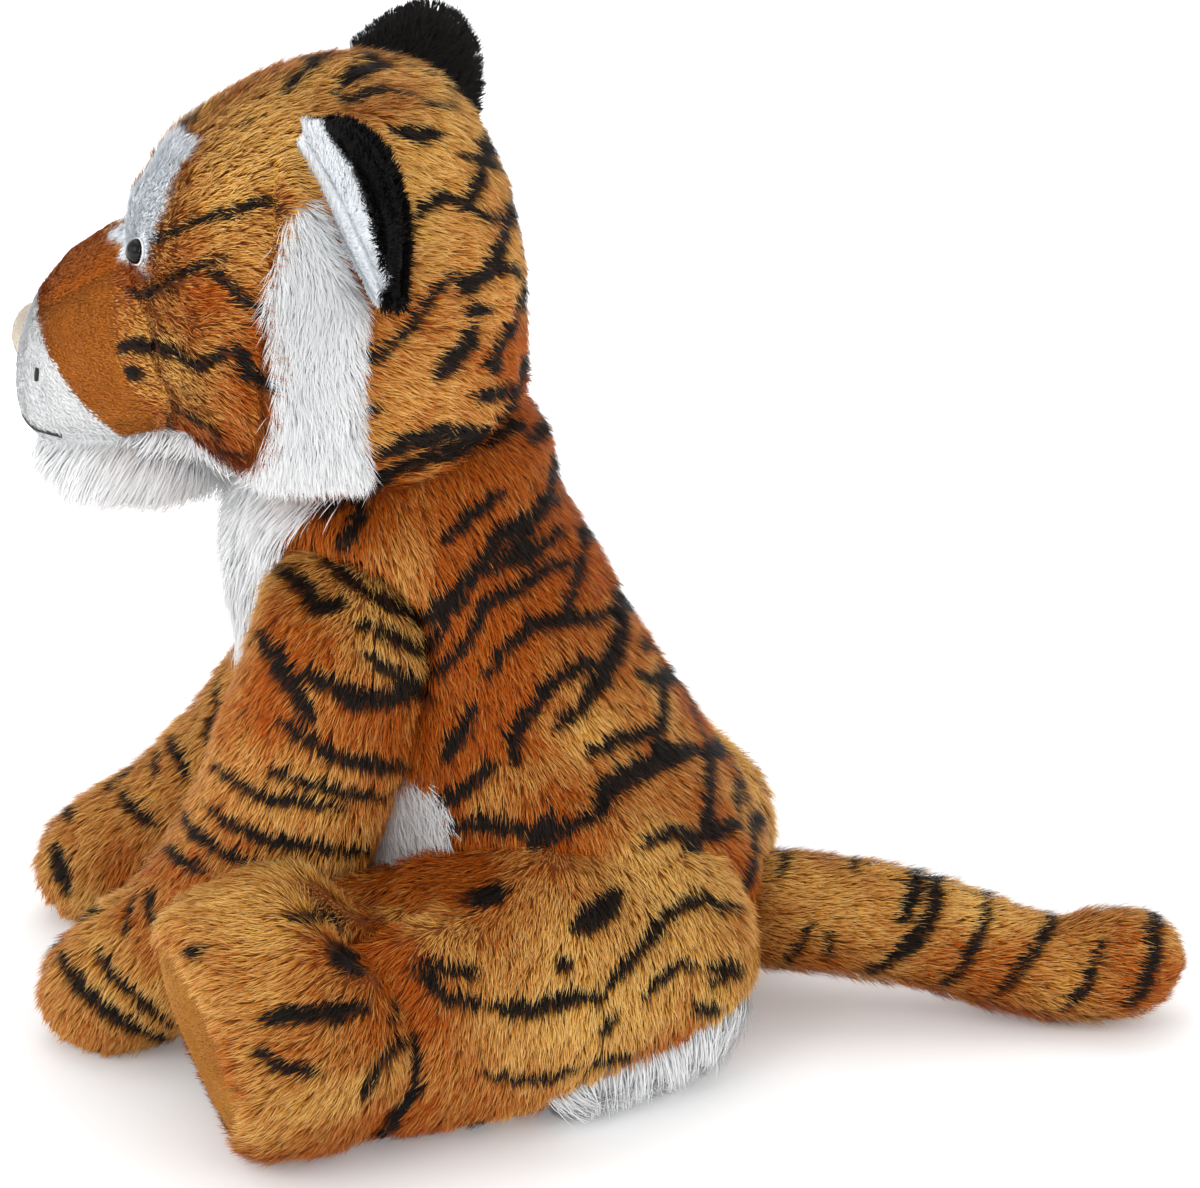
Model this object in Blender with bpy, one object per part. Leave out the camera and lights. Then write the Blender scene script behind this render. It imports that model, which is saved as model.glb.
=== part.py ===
"""Seated plush tiger: sewn covers with their panels, stuffing, safety eyes, ears and tail.

Metres, +Z up. The tiger sits on the floor at z = 0 and faces -Y, and its own left side is +X.
The origin is on the flat seat, under the middle of the body.
"""

import math

import bmesh
import bpy
from mathutils import Matrix, Vector
from mathutils.bvhtree import BVHTree

# Body
bodyHeight = 0.195  # floor to the middle of the neck ball
bodyDepth = 0.160
bodyHalfWidth = 0.074
neckRadius = 0.053
neckSet = -0.069  # the neck ball's place along Y
bodyShares = (  # height, middle along Y, half depth, half width
    (0.000, -0.110, 0.390, 0.72),
    (0.060, -0.116, 0.455, 0.88),
    (0.175, -0.124, 0.490, 0.97),
    (0.320, -0.143, 0.497, 1.00),
    (0.490, -0.217, 0.452, 0.97),
    (0.665, -0.306, 0.419, 0.91),
    (0.830, -0.378, 0.384, 0.83),
)

# Head, measured from the middle of the neck ball
headHeight = 0.144
headLength = 0.137
headHalfWidth = 0.078
headBase = 0.009  # lowest point of the skull above the neck ball's middle
skullShares = (  # height, front, back, half width
    (0.045, -0.360, 0.160, 0.66),
    (0.100, -0.490, 0.255, 0.84),
    (0.210, -0.610, 0.298, 0.97),
    (0.350, -0.675, 0.303, 1.00),
    (0.510, -0.690, 0.298, 0.96),
    (0.665, -0.660, 0.260, 0.90),
    (0.810, -0.560, 0.195, 0.77),
    (0.920, -0.380, 0.105, 0.55),
)
crownShare = -0.130
napeShare = -0.110
snoutLength = 0.0700  # from inside the face to the tip
snoutRoot = 0.063  # in front of the neck ball's middle
snoutRise = 0.0470  # snout's middle above the neck ball's middle
snoutHalfHeight = 0.0405
snoutHalfWidth = 0.049
snoutShares = (  # length, rise, half height, half width
    (0.00, 0.20, 0.96, 1.00),
    (0.28, 0.24, 0.98, 0.98),
    (0.54, 0.14, 0.93, 0.88),
    (0.75, 0.00, 0.82, 0.77),
    (0.89, -0.12, 0.64, 0.62),
    (0.97, -0.19, 0.40, 0.40),
)
tipShare = -0.19

# Arms, measured from the shoulder
armDrop = 0.160  # shoulder above the floor
armRadius = 0.0325
shoulderSet = -0.086
shoulderSpread = 0.064
armShares = (  # sideways, forward, down, radius
    (0.000, 0.000, 0.000, 0.98),
    (0.008, 0.031, 0.185, 1.00),
    (-0.012, 0.095, 0.390, 0.96),
    (-0.050, 0.202, 0.588, 0.91),
    (-0.075, 0.346, 0.760, 0.85),
    (-0.086, 0.482, 0.848, 0.78),
)
reachShares = (0.0, 0.15, 0.35, 0.6, 0.85, 1.0)  # how much of the extra reach each place takes
rightReach = 0.023  # the right paw lies further forward than the left one
flankWidth = 0.042  # half width of the chest between the arms
flankReach = 0.080  # how far from the shoulder the arm stays outside the chest
armPocketShares = ((0.06, -0.10), (0.02, -0.20), (-0.10, -0.59), (-0.26, -0.76))  # rear edge, of armDrop
pocketFarShare = 1.4

# Legs, measured from the floor under the hip
hipSpread = 0.051
hipSet = 0.020
legLength = 0.152
legRadius = 0.0485
legShares = (  # sideways, forward, middle's height, half width, half height
    (-0.010, 0.000, 0.88, 0.80, 0.88),
    (0.155, 0.240, 1.00, 0.96, 1.01),
    (0.265, 0.440, 0.95, 0.87, 0.96),
    (0.355, 0.600, 0.99, 0.93, 0.99),
    (0.445, 0.755, 1.02, 0.95, 1.03),
    (0.510, 0.885, 0.93, 0.87, 0.94),
)
soleDepth = 0.009
hipHingeShare = (0.51, 3.00)  # of the hip's place: sideways and along Y

# Tail
tailRoot = 0.062
tailHeight = 0.038
tailLength = 0.1265
tailRadius = 0.0205
tailShares = (  # backward, height of the middle, radius
    (0.00, 1.00, 1.00),
    (0.25, 0.95, 0.97),
    (0.47, 0.80, 0.93),
    (0.66, 0.60, 0.86),
    (0.80, 0.52, 0.84),
    (0.92, 0.57, 0.92),
    (1.00, 0.63, 0.90),
)

# Ears, measured from the middle of the neck ball
earFront = Vector((0.048, -0.023, 0.139))
earBack = Vector((0.077, 0.008, 0.093))
earLean = Vector((0.76, 0.22, 0.48))  # the way the ear stands out from the head
earHeight = 0.038
earCup = 0.010
earLayer = 0.0022
earBead = 0.0040
beadNeckShare = 1.05  # how far up the sheet leaves the bead, of its radius
beadTaperShare = 0.12  # how much slimmer the bead's ends are
beadTurns = (math.radians(20), math.radians(300))  # round the bead, from the sheet's cup side
earSpanShare = 1.18  # the ear's widest, of its base
earRoundness = 2.4
earEdgeShare = 0.97  # where the sheet ends, just short of its corners
innerEarShare = 0.86
slotTurn = math.radians(15)  # how far the slit for the ear opens, each way

# Panels, as outlines in shares of the size they follow
bibShares = (  # body half width, body height
    (0.66, 1.11), (0.60, 1.00), (0.50, 0.90), (0.36, 0.78), (0.26, 0.62),
)
bellyShares = ((0.26, 0.62), (0.50, 0.42), (0.53, 0.25), (0.53, -0.15))
bellySideShares = ((-1.2, 0.65), (-0.12, 0.65), (-0.12, 0.06), (0.28, 0.06), (0.28, -0.15), (-1.2, -0.15))
bridgeShares = ((-0.69, 0.61), (-0.68, 0.38), (-0.835, 0.38), (-0.92, 0.49), (-1.02, 0.59), (-1.02, 0.61))
cheekShares = (
    (-0.69, 0.61), (-0.66, 0.42), (-0.57, 0.215), (-0.68, 0.18), (-0.92, 0.49), (-1.02, 0.59),
    (-1.02, 0.61),
)
muzzleShares = ((-0.92, 0.49), (-0.68, 0.18), (-0.62, 0.00), (-1.30, 0.00), (-1.30, 0.59), (-1.02, 0.59))
jawShares = ((-0.57, 0.215), (-0.31, 0.21), (-0.26, 0.02), (-0.62, 0.00), (-0.68, 0.18))
browShares = (
    (-0.505, 0.945), (-0.465, 0.905), (-0.515, 0.84), (-0.55, 0.76), (-0.565, 0.67),
    (-0.62, 0.622), (-0.80, 0.622), (-0.80, 0.72), (-0.67, 0.83), (-0.60, 0.92),
)
ruffShares = (
    (-0.225, 0.92), (-0.125, 0.81), (-0.08, 0.715), (-0.025, 0.61), (-0.035, 0.46), (-0.035, 0.32),
    (-0.015, 0.20), (-0.305, 0.20), (-0.25, 0.34), (-0.25, 0.46), (-0.225, 0.68),
)
bridgeHalfWidth = 0.0165
browInner = 0.0095
browOuter = 0.060
ruffInner = 0.053
jawHalfWidth = 0.045
soleShare = 0.82  # of the foot's half width and height

# Face, measured from the middle of the neck ball
eyePlace = Vector((0.0405, -0.086, 0.0955))
eyeRadius = 0.0050
eyeHeight = 0.0036
eyeFlange = 0.0010
eyeFlangeShare = 0.97  # of the eye's radius
shankRadius = 0.0016
shankLength = 0.0085
washerRadius = 0.0060
washerThickness = 0.0015
washerSet = 0.0038  # below the face
nosePlace = Vector((0, -0.1265, 0.0515))
noseHalf = Vector((0.0135, 0.0085, 0.0100))
chinPlace = Vector((0, -0.094, 0.0155))
chinHalf = Vector((0.034, 0.034, 0.0165))
threadRadius = 0.0006
whiskerPlace = Vector((0.024, 0, 0.043))
whiskerLength = 0.0045
mouthHalfWidth = 0.021
mouthRise = 0.0275
mouthSag = 0.0030
mouthSteps = 8

# Sewing
clothWall = 0.0020
clearance = 0.0003
jointClearance = 0.0013
seatCut = 0.0005
ruffBulge = 0.0050
stuffingGap = 0.0009  # between the stuffing and the cloth round it
openingRadius = 0.018
openingLean = 0.007
smallOpening = 0.009
overrun = 0.030  # how far cutters reach past what they cut

# Meshing
bodySides = 24
limbSides = 16
tailSides = 12
roundSides = 16
openingSides = 14
flankSides = 24
domeRings = 3
capRings = 2
ballSteps = (12, 24)  # rows and columns of a round cutter
beadSteps = (6, 12)  # of a small round piece
chinSteps = (8, 16)
earSteps = (10, 4)
beadCount = 11
slotSides = 14
pocketSteps = 6
sharpTurn = math.radians(40)  # edges that turn less are shaded smooth
sharpestCornerShare = 0.2  # keeps a grown outline's sharp corners short
weldShare = 0.01  # of a thread's radius

# Colours, and how rough each finish is
orange = (0.52, 0.24, 0.07)
white = (0.85, 0.86, 0.86)
tan = (0.50, 0.24, 0.08)
cream = (0.66, 0.60, 0.48)
black = (0.012, 0.011, 0.011)
clear = (0.75, 0.75, 0.73)
filling = (0.80, 0.80, 0.78)
plush, satin, glossy = 0.9, 0.55, 0.12

middle = Vector((0, 0, 0))
neck = Vector((0, neckSet, bodyHeight))
xAxis, yAxis, zAxis = Vector((1, 0, 0)), Vector((0, 1, 0)), Vector((0, 0, 1))
sides = (("left", 1), ("right", -1))


def clearScene():
    for item in list(bpy.data.objects):
        bpy.data.objects.remove(item, do_unlink=True)


def newCollection(name):
    collection = bpy.data.collections.new(name)
    bpy.context.scene.collection.children.link(collection)
    return collection


def meshObject(name, vertices, faces):
    mesh = bpy.data.meshes.new(name)
    mesh.from_pydata([tuple(v) for v in vertices], [], faces)
    mesh.validate()
    item = bpy.data.objects.new(name, mesh)
    cutters.objects.link(item)
    outward(item)
    return item


def outward(item):
    work = bmesh.new()
    work.from_mesh(item.data)
    bmesh.ops.recalc_face_normals(work, faces=work.faces)
    if work.calc_volume(signed=True) < 0:
        bmesh.ops.reverse_faces(work, faces=work.faces)
    work.to_mesh(item.data)
    work.free()


def ring(place, side, up, halfSide, halfUp, count):
    """Points of an ellipse round a place."""
    points = []
    for i in range(count):
        turn = math.tau * i / count
        points.append(place + side * (halfSide * math.cos(turn)) + up * (halfUp * math.sin(turn)))
    return points


def halves(a, b, c, d):
    """Two triangles for a face with four corners, which may be bent."""
    return [(a, b, c), (a, c, d)]


def loft(name, rings, start=None, end=None):
    """A closed skin over rings of equal count, with a point or a flat face at each end."""
    count = len(rings[0])
    points = [p for loop in rings for p in loop]
    faces = []
    for row in range(len(rings) - 1):
        for i in range(count):
            j = (i + 1) % count
            faces += halves(row * count + i, row * count + j, (row + 1) * count + j, (row + 1) * count + i)
    for pole, row in ((start, 0), (end, len(rings) - 1)):
        loop = [row * count + i for i in range(count)]
        if pole is None:
            faces.append(loop)
            continue
        points.append(pole)
        for i in range(count):
            faces.append((loop[i], loop[(i + 1) % count], len(points) - 1))
    return meshObject(name, points, faces)


def tube(name, stations, count, startCap, endCap):
    """A tube through stations of (place, half width, half height), with a rounded cap at each end."""
    places = [s[0] for s in stations]
    rings = []
    last = len(places) - 1
    for i, (place, halfSide, halfUp) in enumerate(stations):
        along = (places[min(i + 1, last)] - places[max(i - 1, 0)]).normalized()
        side = (Vector((1, 0, 0)) - along * along.x).normalized()
        up = along.cross(side)
        loops = [(0.0, 1.0)]
        if i == 0:
            loops = [(-startCap * s, c) for s, c in capSteps()][::-1] + loops
            start = place - along * startCap
        if i == last:
            loops += [(endCap * s, c) for s, c in capSteps()]
            end = place + along * endCap
        for shift, share in loops:
            rings.append(ring(place + along * shift, side, up, halfSide * share, halfUp * share, count))
    return loft(name, rings, start, end)


def capSteps():
    turns = [math.pi / 2 * k / (capRings + 1) for k in range(1, capRings + 1)]
    return [(math.sin(t), math.cos(t)) for t in turns]


def ball(name, place, radius):
    return ellipsoid(name, place, Vector((radius, radius, radius)), *ballSteps)


def ellipsoid(name, place, half, rows, count):
    work = bmesh.new()
    bmesh.ops.create_uvsphere(work, u_segments=count, v_segments=rows, radius=1)
    bmesh.ops.transform(work, matrix=Matrix.Diagonal((*half, 1)), verts=work.verts)
    bmesh.ops.translate(work, vec=place, verts=work.verts)
    return fromWork(name, work)


def rod(name, start, end, radius, count=roundSides):
    """A cylinder from start to end."""
    along = end - start
    work = bmesh.new()
    bmesh.ops.create_cone(
        work, cap_ends=True, segments=count, radius1=radius, radius2=radius, depth=along.length
    )
    turn = Vector((0, 0, 1)).rotation_difference(along).to_matrix().to_4x4()
    bmesh.ops.transform(work, matrix=Matrix.Translation((start + end) / 2) @ turn, verts=work.verts)
    return fromWork(name, work)


def box(name, low, high):
    work = bmesh.new()
    bmesh.ops.create_cube(work, size=1)
    bmesh.ops.transform(work, matrix=Matrix.Diagonal((*(high - low), 1)), verts=work.verts)
    bmesh.ops.translate(work, vec=(low + high) / 2, verts=work.verts)
    return fromWork(name, work)


def fromWork(name, work):
    mesh = bpy.data.meshes.new(name)
    work.to_mesh(mesh)
    work.free()
    item = bpy.data.objects.new(name, mesh)
    cutters.objects.link(item)
    return item


def prism(name, outline, axis, low, high):
    """An outline drawn on the plane square to axis ("x" or "y"), pushed from low to high along it."""
    count = len(outline)
    points = []
    for depth in (low, high):
        for across, height in outline:
            points.append((depth, across, height) if axis == "x" else (across, depth, height))
    faces = [tuple(range(count)), tuple(range(count, 2 * count))[::-1]]
    for i in range(count):
        j = (i + 1) % count
        faces.append((i, j, count + j, count + i))
    return meshObject(name, points, faces)


def grown(outline, by):
    """The outline with each edge moved out by the same distance."""
    count = len(outline)
    following = outline[1:] + outline[:1]
    area = sum(here[0] * after[1] - after[0] * here[1] for here, after in zip(outline, following))
    sign = 1 if area > 0 else -1
    moved = []
    for i in range(count):
        before, here, after = (Vector(outline[(i + k) % count]) for k in (-1, 0, 1))
        inward = (here - before).normalized()
        onward = (after - here).normalized()
        first = Vector((inward.y, -inward.x)) * sign
        second = Vector((onward.y, -onward.x)) * sign
        corner = (first + second) / max(1 + first.dot(second), sharpestCornerShare)
        moved.append(tuple(here + corner * by))
    return moved


def combine(target, cutter, operation, keep=False):
    """Cuts, joins or intersects target with cutter, and drops the cutter."""
    step = target.modifiers.new("combine", "BOOLEAN")
    step.object = cutter
    step.operation = operation
    step.solver = "EXACT"
    graph = bpy.context.evaluated_depsgraph_get()
    mesh = bpy.data.meshes.new_from_object(target.evaluated_get(graph))
    target.modifiers.clear()
    target.data = mesh
    if not keep:
        bpy.data.objects.remove(cutter, do_unlink=True)
    return target


def cut(target, cutter, keep=False):
    return combine(target, cutter, "DIFFERENCE", keep)


def join(target, cutter):
    return combine(target, cutter, "UNION")


def within(target, cutter):
    return combine(target, cutter, "INTERSECT")


def copyOf(item, name):
    twin = item.copy()
    twin.data = item.data.copy()
    twin.name = name
    cutters.objects.link(twin)
    return twin


def mirrored(item, name):
    """The same piece on the tiger's right side."""
    twin = copyOf(item, name)
    twin.data.transform(Matrix.Diagonal((-1, 1, 1, 1)))
    outward(twin)
    return twin


def bodySkin(inset, count):
    rings = []
    for height, along, depth, width in bodyShares:
        place = Vector((0, along * bodyDepth, max(height * bodyHeight, inset)))
        rings.append(
            ring(place, xAxis, yAxis, width * bodyHalfWidth - inset, depth * bodyDepth - inset, count)
        )
    if inset < 0:
        rings[0] = [p + zAxis * inset for p in rings[0]]
    for k in range(domeRings + 1):
        rise = math.pi / 2 * k / (domeRings + 1)
        radius = neckRadius - inset
        place = neck + zAxis * (radius * math.sin(rise))
        rings.append(ring(place, xAxis, yAxis, radius * math.cos(rise), radius * math.cos(rise), count))
    return loft("body", rings, None, neck + zAxis * (neckRadius - inset))


def armPocket(inset):
    """Room beside the chest for the left arm, from where it hangs to as far as it swings forward."""
    radius = armRadius + jointClearance + inset
    outline = []
    for k in range(pocketSteps + 1):
        turn = math.pi / 2 * k / pocketSteps
        outline.append((shoulderSet + radius * math.cos(turn), armDrop + radius * math.sin(turn)))
    far = shoulderSet - pocketFarShare * armDrop
    outline.append((far, armDrop + radius))
    outline.append((far, armDrop + armDrop * armPocketShares[-1][1] - inset))
    rear = shoulderSet + radius - armDrop * armPocketShares[0][0]
    for along, down in armPocketShares[::-1]:
        outline.append((rear + armDrop * along, armDrop * (1 + down)))
    return prism("arm_pocket", outline, "x", flankWidth - inset, bodyHalfWidth + overrun)


def bodyForm(inset, count=bodySides):
    form = bodySkin(inset, count)
    pocket = armPocket(inset)
    cut(form, mirrored(pocket, "arm_pocket_right"))
    cut(form, pocket)
    cut(form, ball("tail_pocket", tailMiddle(), tailRadius + jointClearance + inset))
    return form


def skullForm(inset, count):
    rings = []
    for height, front, back, width in skullShares:
        along = neckSet + headLength * (front + back) / 2
        place = Vector((0, along, neck.z + headBase + height * headHeight))
        halfDepth = headLength * (back - front) / 2
        rings.append(ring(place, xAxis, yAxis, width * headHalfWidth - inset, halfDepth - inset, count))
    low = Vector((0, neckSet + napeShare * headLength, neck.z + headBase + inset))
    high = Vector((0, neckSet + crownShare * headLength, neck.z + headBase + headHeight - inset))
    return loft("skull", rings, low, high)


def snoutForm(inset, count):
    rings = []
    for along, rise, height, width in snoutShares:
        place = neck + Vector((0, -snoutRoot - along * snoutLength, snoutRise + rise * snoutHalfHeight))
        halfSide = width * snoutHalfWidth
        halfUp = height * snoutHalfHeight
        rings.append(ring(place, xAxis, zAxis, halfSide - inset, halfUp - inset, count))
    tip = neck + Vector((0, -snoutRoot - snoutLength + inset, snoutRise + tipShare * snoutHalfHeight))
    root = neck + Vector((0, -snoutRoot + overrun / 2, snoutRise))
    return loft("snout", rings, root, tip)


def headForm(inset, count=bodySides):
    form = skullForm(inset, count)
    join(form, snoutForm(inset, count))
    cut(form, ball("neck_socket", neck, neckRadius + jointClearance + inset))
    return form


def armForm(side, inset, count=limbSides):
    reach = rightReach if side < 0 else 0
    stations = []
    for (across, forward, down, width), share in zip(armShares, reachShares):
        place = Vector(
            (
                side * (shoulderSpread + across * armDrop),
                shoulderSet - forward * armDrop - share * reach,
                armDrop * (1 - down),
            )
        )
        radius = width * armRadius - inset
        stations.append((place, radius, radius))
    form = tube("arm", stations, count, armRadius - inset, armRadius - inset)
    shoulder = shoulderMiddle(side)
    near = Vector((side * (flankWidth + clearance * 2 + inset), *shoulder.yz))
    far = Vector((-side * overrun, *shoulder.yz))
    cut(form, rod("flank", near, far, flankReach + inset, flankSides))
    cut(form, bodyForm(-clearance - inset))
    leg = legForm(-clearance - inset)
    cut(form, leg if side > 0 else mirrored(leg, "leg_right"), keep=side < 0)
    if side < 0:
        bpy.data.objects.remove(leg, do_unlink=True)
    cut(form, floorBlock(inset))
    return form


def legPlace(across, forward, height):
    rise = height * legRadius - seatCut
    return Vector((hipSpread + across * legLength, hipSet - forward * legLength, rise))


def untrimmedLeg(inset, count):
    stations = []
    for across, forward, height, width, rise in legShares:
        place = legPlace(across, forward, height)
        stations.append((place, width * legRadius - inset, rise * legRadius - inset))
    return tube("leg", stations, count, legRadius * legShares[0][3] - inset, soleDepth - inset)


def legForm(inset, count=limbSides):
    """The left leg, cut to the body's side."""
    form = untrimmedLeg(inset, count)
    cut(form, bodyForm(-clearance - inset))
    cut(form, floorBlock(inset))
    return form


def tailForm(inset, count=tailSides):
    stations = []
    for along, height, width in tailShares:
        place = Vector((0, tailRoot + along * tailLength, height * tailHeight))
        radius = width * tailRadius - inset
        stations.append((place, radius, radius))
    form = tube("tail", stations, count, tailRadius - inset, tailRadius * tailShares[-1][2] - inset)
    cut(form, floorBlock(inset))
    return form


def floorBlock(inset):
    size = bodyHalfWidth + bodyDepth + tailLength
    return box("floor", Vector((-size, -size, -overrun)), Vector((size, size, inset)))


def tailMiddle():
    return Vector((0, tailRoot, tailHeight))


def shoulderMiddle(side):
    return Vector((side * shoulderSpread, shoulderSet, armDrop))


def hipMiddle(side):
    return Vector((side * hipSpread * hipHingeShare[0], hipSet * hipHingeShare[1], legRadius))


def coverAndStuffing(name, form, count, opening):
    """The sewn cover, open where it is joined on, and the stuffing that fills it."""
    cover = form(0.0, count)
    hollow = form(clothWall, count // 2)
    join(hollow, opening)
    cut(cover, hollow)
    stuffing = form(clothWall + stuffingGap, count // 2)
    cover.name = name + "_cover"
    stuffing.name = name + "_stuffing"
    return cover, stuffing


def finish(item, name, colour, roughness, parent=None):
    item.name = name
    item.data.name = name
    cutters.objects.unlink(item)
    tiger.objects.link(item)
    item.data.materials.clear()
    item.data.materials.append(material(name, colour, roughness))
    item.data.shade_smooth()
    item.data.set_sharp_from_angle(angle=sharpTurn)
    if parent:
        item.parent = parent
        item.matrix_parent_inverse = parent.matrix_world.inverted()
    return item


def material(name, colour, roughness):
    made = bpy.data.materials.new(name)
    made.use_nodes = True
    shader = made.node_tree.nodes["Principled BSDF"]
    shader.inputs["Base Color"].default_value = (*colour, 1)
    shader.inputs["Roughness"].default_value = roughness
    return made


def pivot(name, place, parent=None):
    empty = bpy.data.objects.new(name, None)
    tiger.objects.link(empty)
    empty.location = place
    bpy.context.view_layer.update()
    if parent:
        empty.parent = parent
        empty.matrix_parent_inverse = parent.matrix_world.inverted()
        bpy.context.view_layer.update()
    return empty


def shares(outline, across, height, start=middle):
    """An outline given in shares, as real places on the X-Z or Y-Z plane."""
    return [(start[0] + a * across, start[1] + b * height) for a, b in outline]


def faceOutline(outline):
    return shares(outline, headLength, headHeight, (neck.y, neck.z))


def bothSides(outline):
    """A left half outline on the X-Z plane, closed with its mirror image."""
    return outline + [(-a, b) for a, b in outline[::-1]]


def seamed(outline, axis, low, high):
    """Prisms for a panel and for the hole that it is sewn into, half a seam apart each way."""
    half = clearance / 2
    inner = prism("panel_zone", grown(outline, -half), axis, low + half, high - half)
    outer = prism("hole_zone", grown(outline, half), axis, low - half, high + half)
    return inner, outer


def sewnPanel(name, form, count, inner, bulge=0.0):
    piece = form(-bulge, count)
    within(piece, inner)
    cut(piece, form(clothWall, count // 2))
    piece.name = name
    return piece


def cutBoth(target, cutter, keep=False):
    """Cuts with the cutter and with its mirror image."""
    cut(target, mirrored(cutter, "twin"))
    cut(target, cutter, keep)


def neckOpening():
    """Both covers are open here, where the head is sewn to the neck."""
    top = Vector((0, openingLean, neckRadius + overrun))
    return rod("neck_opening", neck, neck + top, openingRadius, openingSides)


def makeBody():
    opening = neckOpening()
    cover, stuffing = coverAndStuffing("body", bodyForm, bodySides, opening)
    for name, outline, end in (("bib", bibShares, neckSet), ("belly_panel", bellyShares, bodyDepth)):
        whole = bothSides(shares(outline, bodyHalfWidth, bodyHeight))
        inner, outer = seamed(whole, "y", -bodyDepth - overrun, end)
        if name == "belly_panel":
            side = shares(bellySideShares, bodyDepth, bodyHeight)
            below, belowOuter = seamed(side, "x", -bodyDepth, bodyDepth)
            within(inner, below)
            within(outer, belowOuter)
        finish(sewnPanel(name, bodyForm, bodySides, inner), name, white, plush)
        cut(cover, outer)
    finish(cover, "body_cover", orange, plush)
    finish(stuffing, "body_stuffing", filling, plush)


def makeHead(parent):
    opening = neckOpening()
    cover, stuffing = coverAndStuffing("head", headForm, bodySides, opening)
    panels = sidePanels(cover)
    slot = earSlot(clearance)
    cut(panels["cheek_ruff"], slot, keep=True)
    cutBoth(cover, slot)
    cutBoth(stuffing, earSlot(clearance + clothWall))
    surface = headForm(0.0)
    tree = BVHTree.FromObject(surface, bpy.context.evaluated_depsgraph_get())
    bpy.data.objects.remove(surface, do_unlink=True)
    makeEyes(tree, panels["brow_patch"], cover, stuffing, parent)
    for name, piece in panels.items():
        colour = tan if name == "snout_side" else white
        finish(mirrored(piece, "twin"), name + "_right", colour, plush, parent)
        finish(piece, name + "_left", colour, plush, parent)
    middlePanels(cover, parent)
    finish(cover, "head_cover", orange, plush, parent)
    finish(stuffing, "head_stuffing", filling, plush, parent)
    makeNoseAndChin(parent)
    makeStitches(tree, parent)


def sidePanels(cover):
    """The left panels of the face. The head's cover loses the room for them on both sides."""
    far = headHalfWidth + overrun
    seams = {
        "snout_side": (cheekShares, bridgeHalfWidth, far),
        "muzzle": (muzzleShares, 0.0, far),
        "brow_patch": (browShares, browInner, browOuter),
        "cheek_ruff": (ruffShares, ruffInner, far),
    }
    panels = {}
    for name, (outline, low, high) in seams.items():
        inner, outer = seamed(faceOutline(outline), "x", low, high)
        bulge = ruffBulge if name == "cheek_ruff" else 0.0
        panels[name] = sewnPanel(name, headForm, bodySides, inner, bulge)
        cutBoth(cover, outer)
    return panels


def middlePanels(cover, parent):
    for name, outline, half, colour in (
        ("snout_bridge", bridgeShares, bridgeHalfWidth, tan),
        ("jaw_panel", jawShares, jawHalfWidth, white),
    ):
        inner, outer = seamed(faceOutline(outline), "x", -half, half)
        finish(sewnPanel(name, headForm, bodySides, inner), name, colour, plush, parent)
        cut(cover, outer)


def makeEyes(tree, patch, cover, stuffing, parent):
    """Domed safety eyes on shanks, and the washers that lock them from inside."""
    place, normal, _, _ = tree.find_nearest(neck + eyePlace)
    base = place + normal * clearance
    deep = base - normal * shankLength
    eye = ellipsoid("dome", middle, Vector((eyeRadius, eyeRadius, eyeHeight)), *beadSteps)
    cut(eye, box("under", Vector((-overrun, -overrun, -overrun)), Vector((overrun, overrun, 0))))
    turn = zAxis.rotation_difference(normal).to_matrix().to_4x4()
    eye.data.transform(Matrix.Translation(base + normal * eyeFlange) @ turn)
    flangeTop = base + normal * (eyeFlange + clearance)
    join(eye, rod("flange", base, flangeTop, eyeRadius * eyeFlangeShare, beadSteps[1]))
    join(eye, rod("shank", base + normal * eyeFlange, deep, shankRadius, beadSteps[1]))
    washerTop = place - normal * washerSet
    washerEnd = washerTop - normal * washerThickness
    washer = rod("washer", washerTop, washerEnd, washerRadius)
    holeRadius = shankRadius + clearance
    cut(washer, rod("bore", base, deep - normal * washerThickness, holeRadius, beadSteps[1]))
    eyelet = rod("eyelet", base + normal * shankLength, deep, holeRadius, beadSteps[1])
    cut(patch, eyelet, keep=True)
    cutBoth(cover, eyelet)
    cutBoth(stuffing, rod("room", base, washerEnd - normal * clearance, washerRadius + clearance))
    cutBoth(stuffing, rod("shank_room", base, deep - normal * clearance, holeRadius))
    for name, piece in (("left", eye), ("right", mirrored(eye, "twin"))):
        finish(piece, "eye_" + name, black, glossy, parent)
    for name, piece in (("left", washer), ("right", mirrored(washer, "twin"))):
        finish(piece, "eye_washer_" + name, clear, glossy, parent)


def makeNoseAndChin(parent):
    nose = ellipsoid("nose", neck + nosePlace, noseHalf, *chinSteps)
    cut(nose, headForm(-clearance))
    finish(nose, "nose", cream, satin, parent)
    chin = ellipsoid("chin_tuft", neck + chinPlace, chinHalf, *chinSteps)
    cut(chin, headForm(-clearance))
    finish(chin, "chin_tuft", white, plush, parent)


def makeStitches(tree, parent):
    """The embroidered mouth and one whisker mark a side, lying on the muzzle."""
    mouth = []
    for i in range(mouthSteps + 1):
        across = 2 * i / mouthSteps - 1
        place = Vector((across * mouthHalfWidth, 0, mouthRise - mouthSag * math.cos(across * math.pi)))
        mouth.append(onMuzzle(tree, place))
    finish(thread("mouth_stitch", mouth), "mouth_stitch", black, satin, parent)
    for name, side in sides:
        ends = []
        for share in (-0.5, 0.0, 0.5):
            place = Vector((side * whiskerPlace.x, 0, whiskerPlace.z + share * whiskerLength))
            ends.append(onMuzzle(tree, place))
        finish(thread("whisker", ends), "whisker_stitch_" + name, black, satin, parent)


def onMuzzle(tree, place):
    start = neck + Vector((place.x, -snoutRoot - snoutLength - overrun, place.z))
    hit, normal, _, _ = tree.ray_cast(start, yAxis)
    return hit + normal * (threadRadius + clearance * 2)


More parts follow.
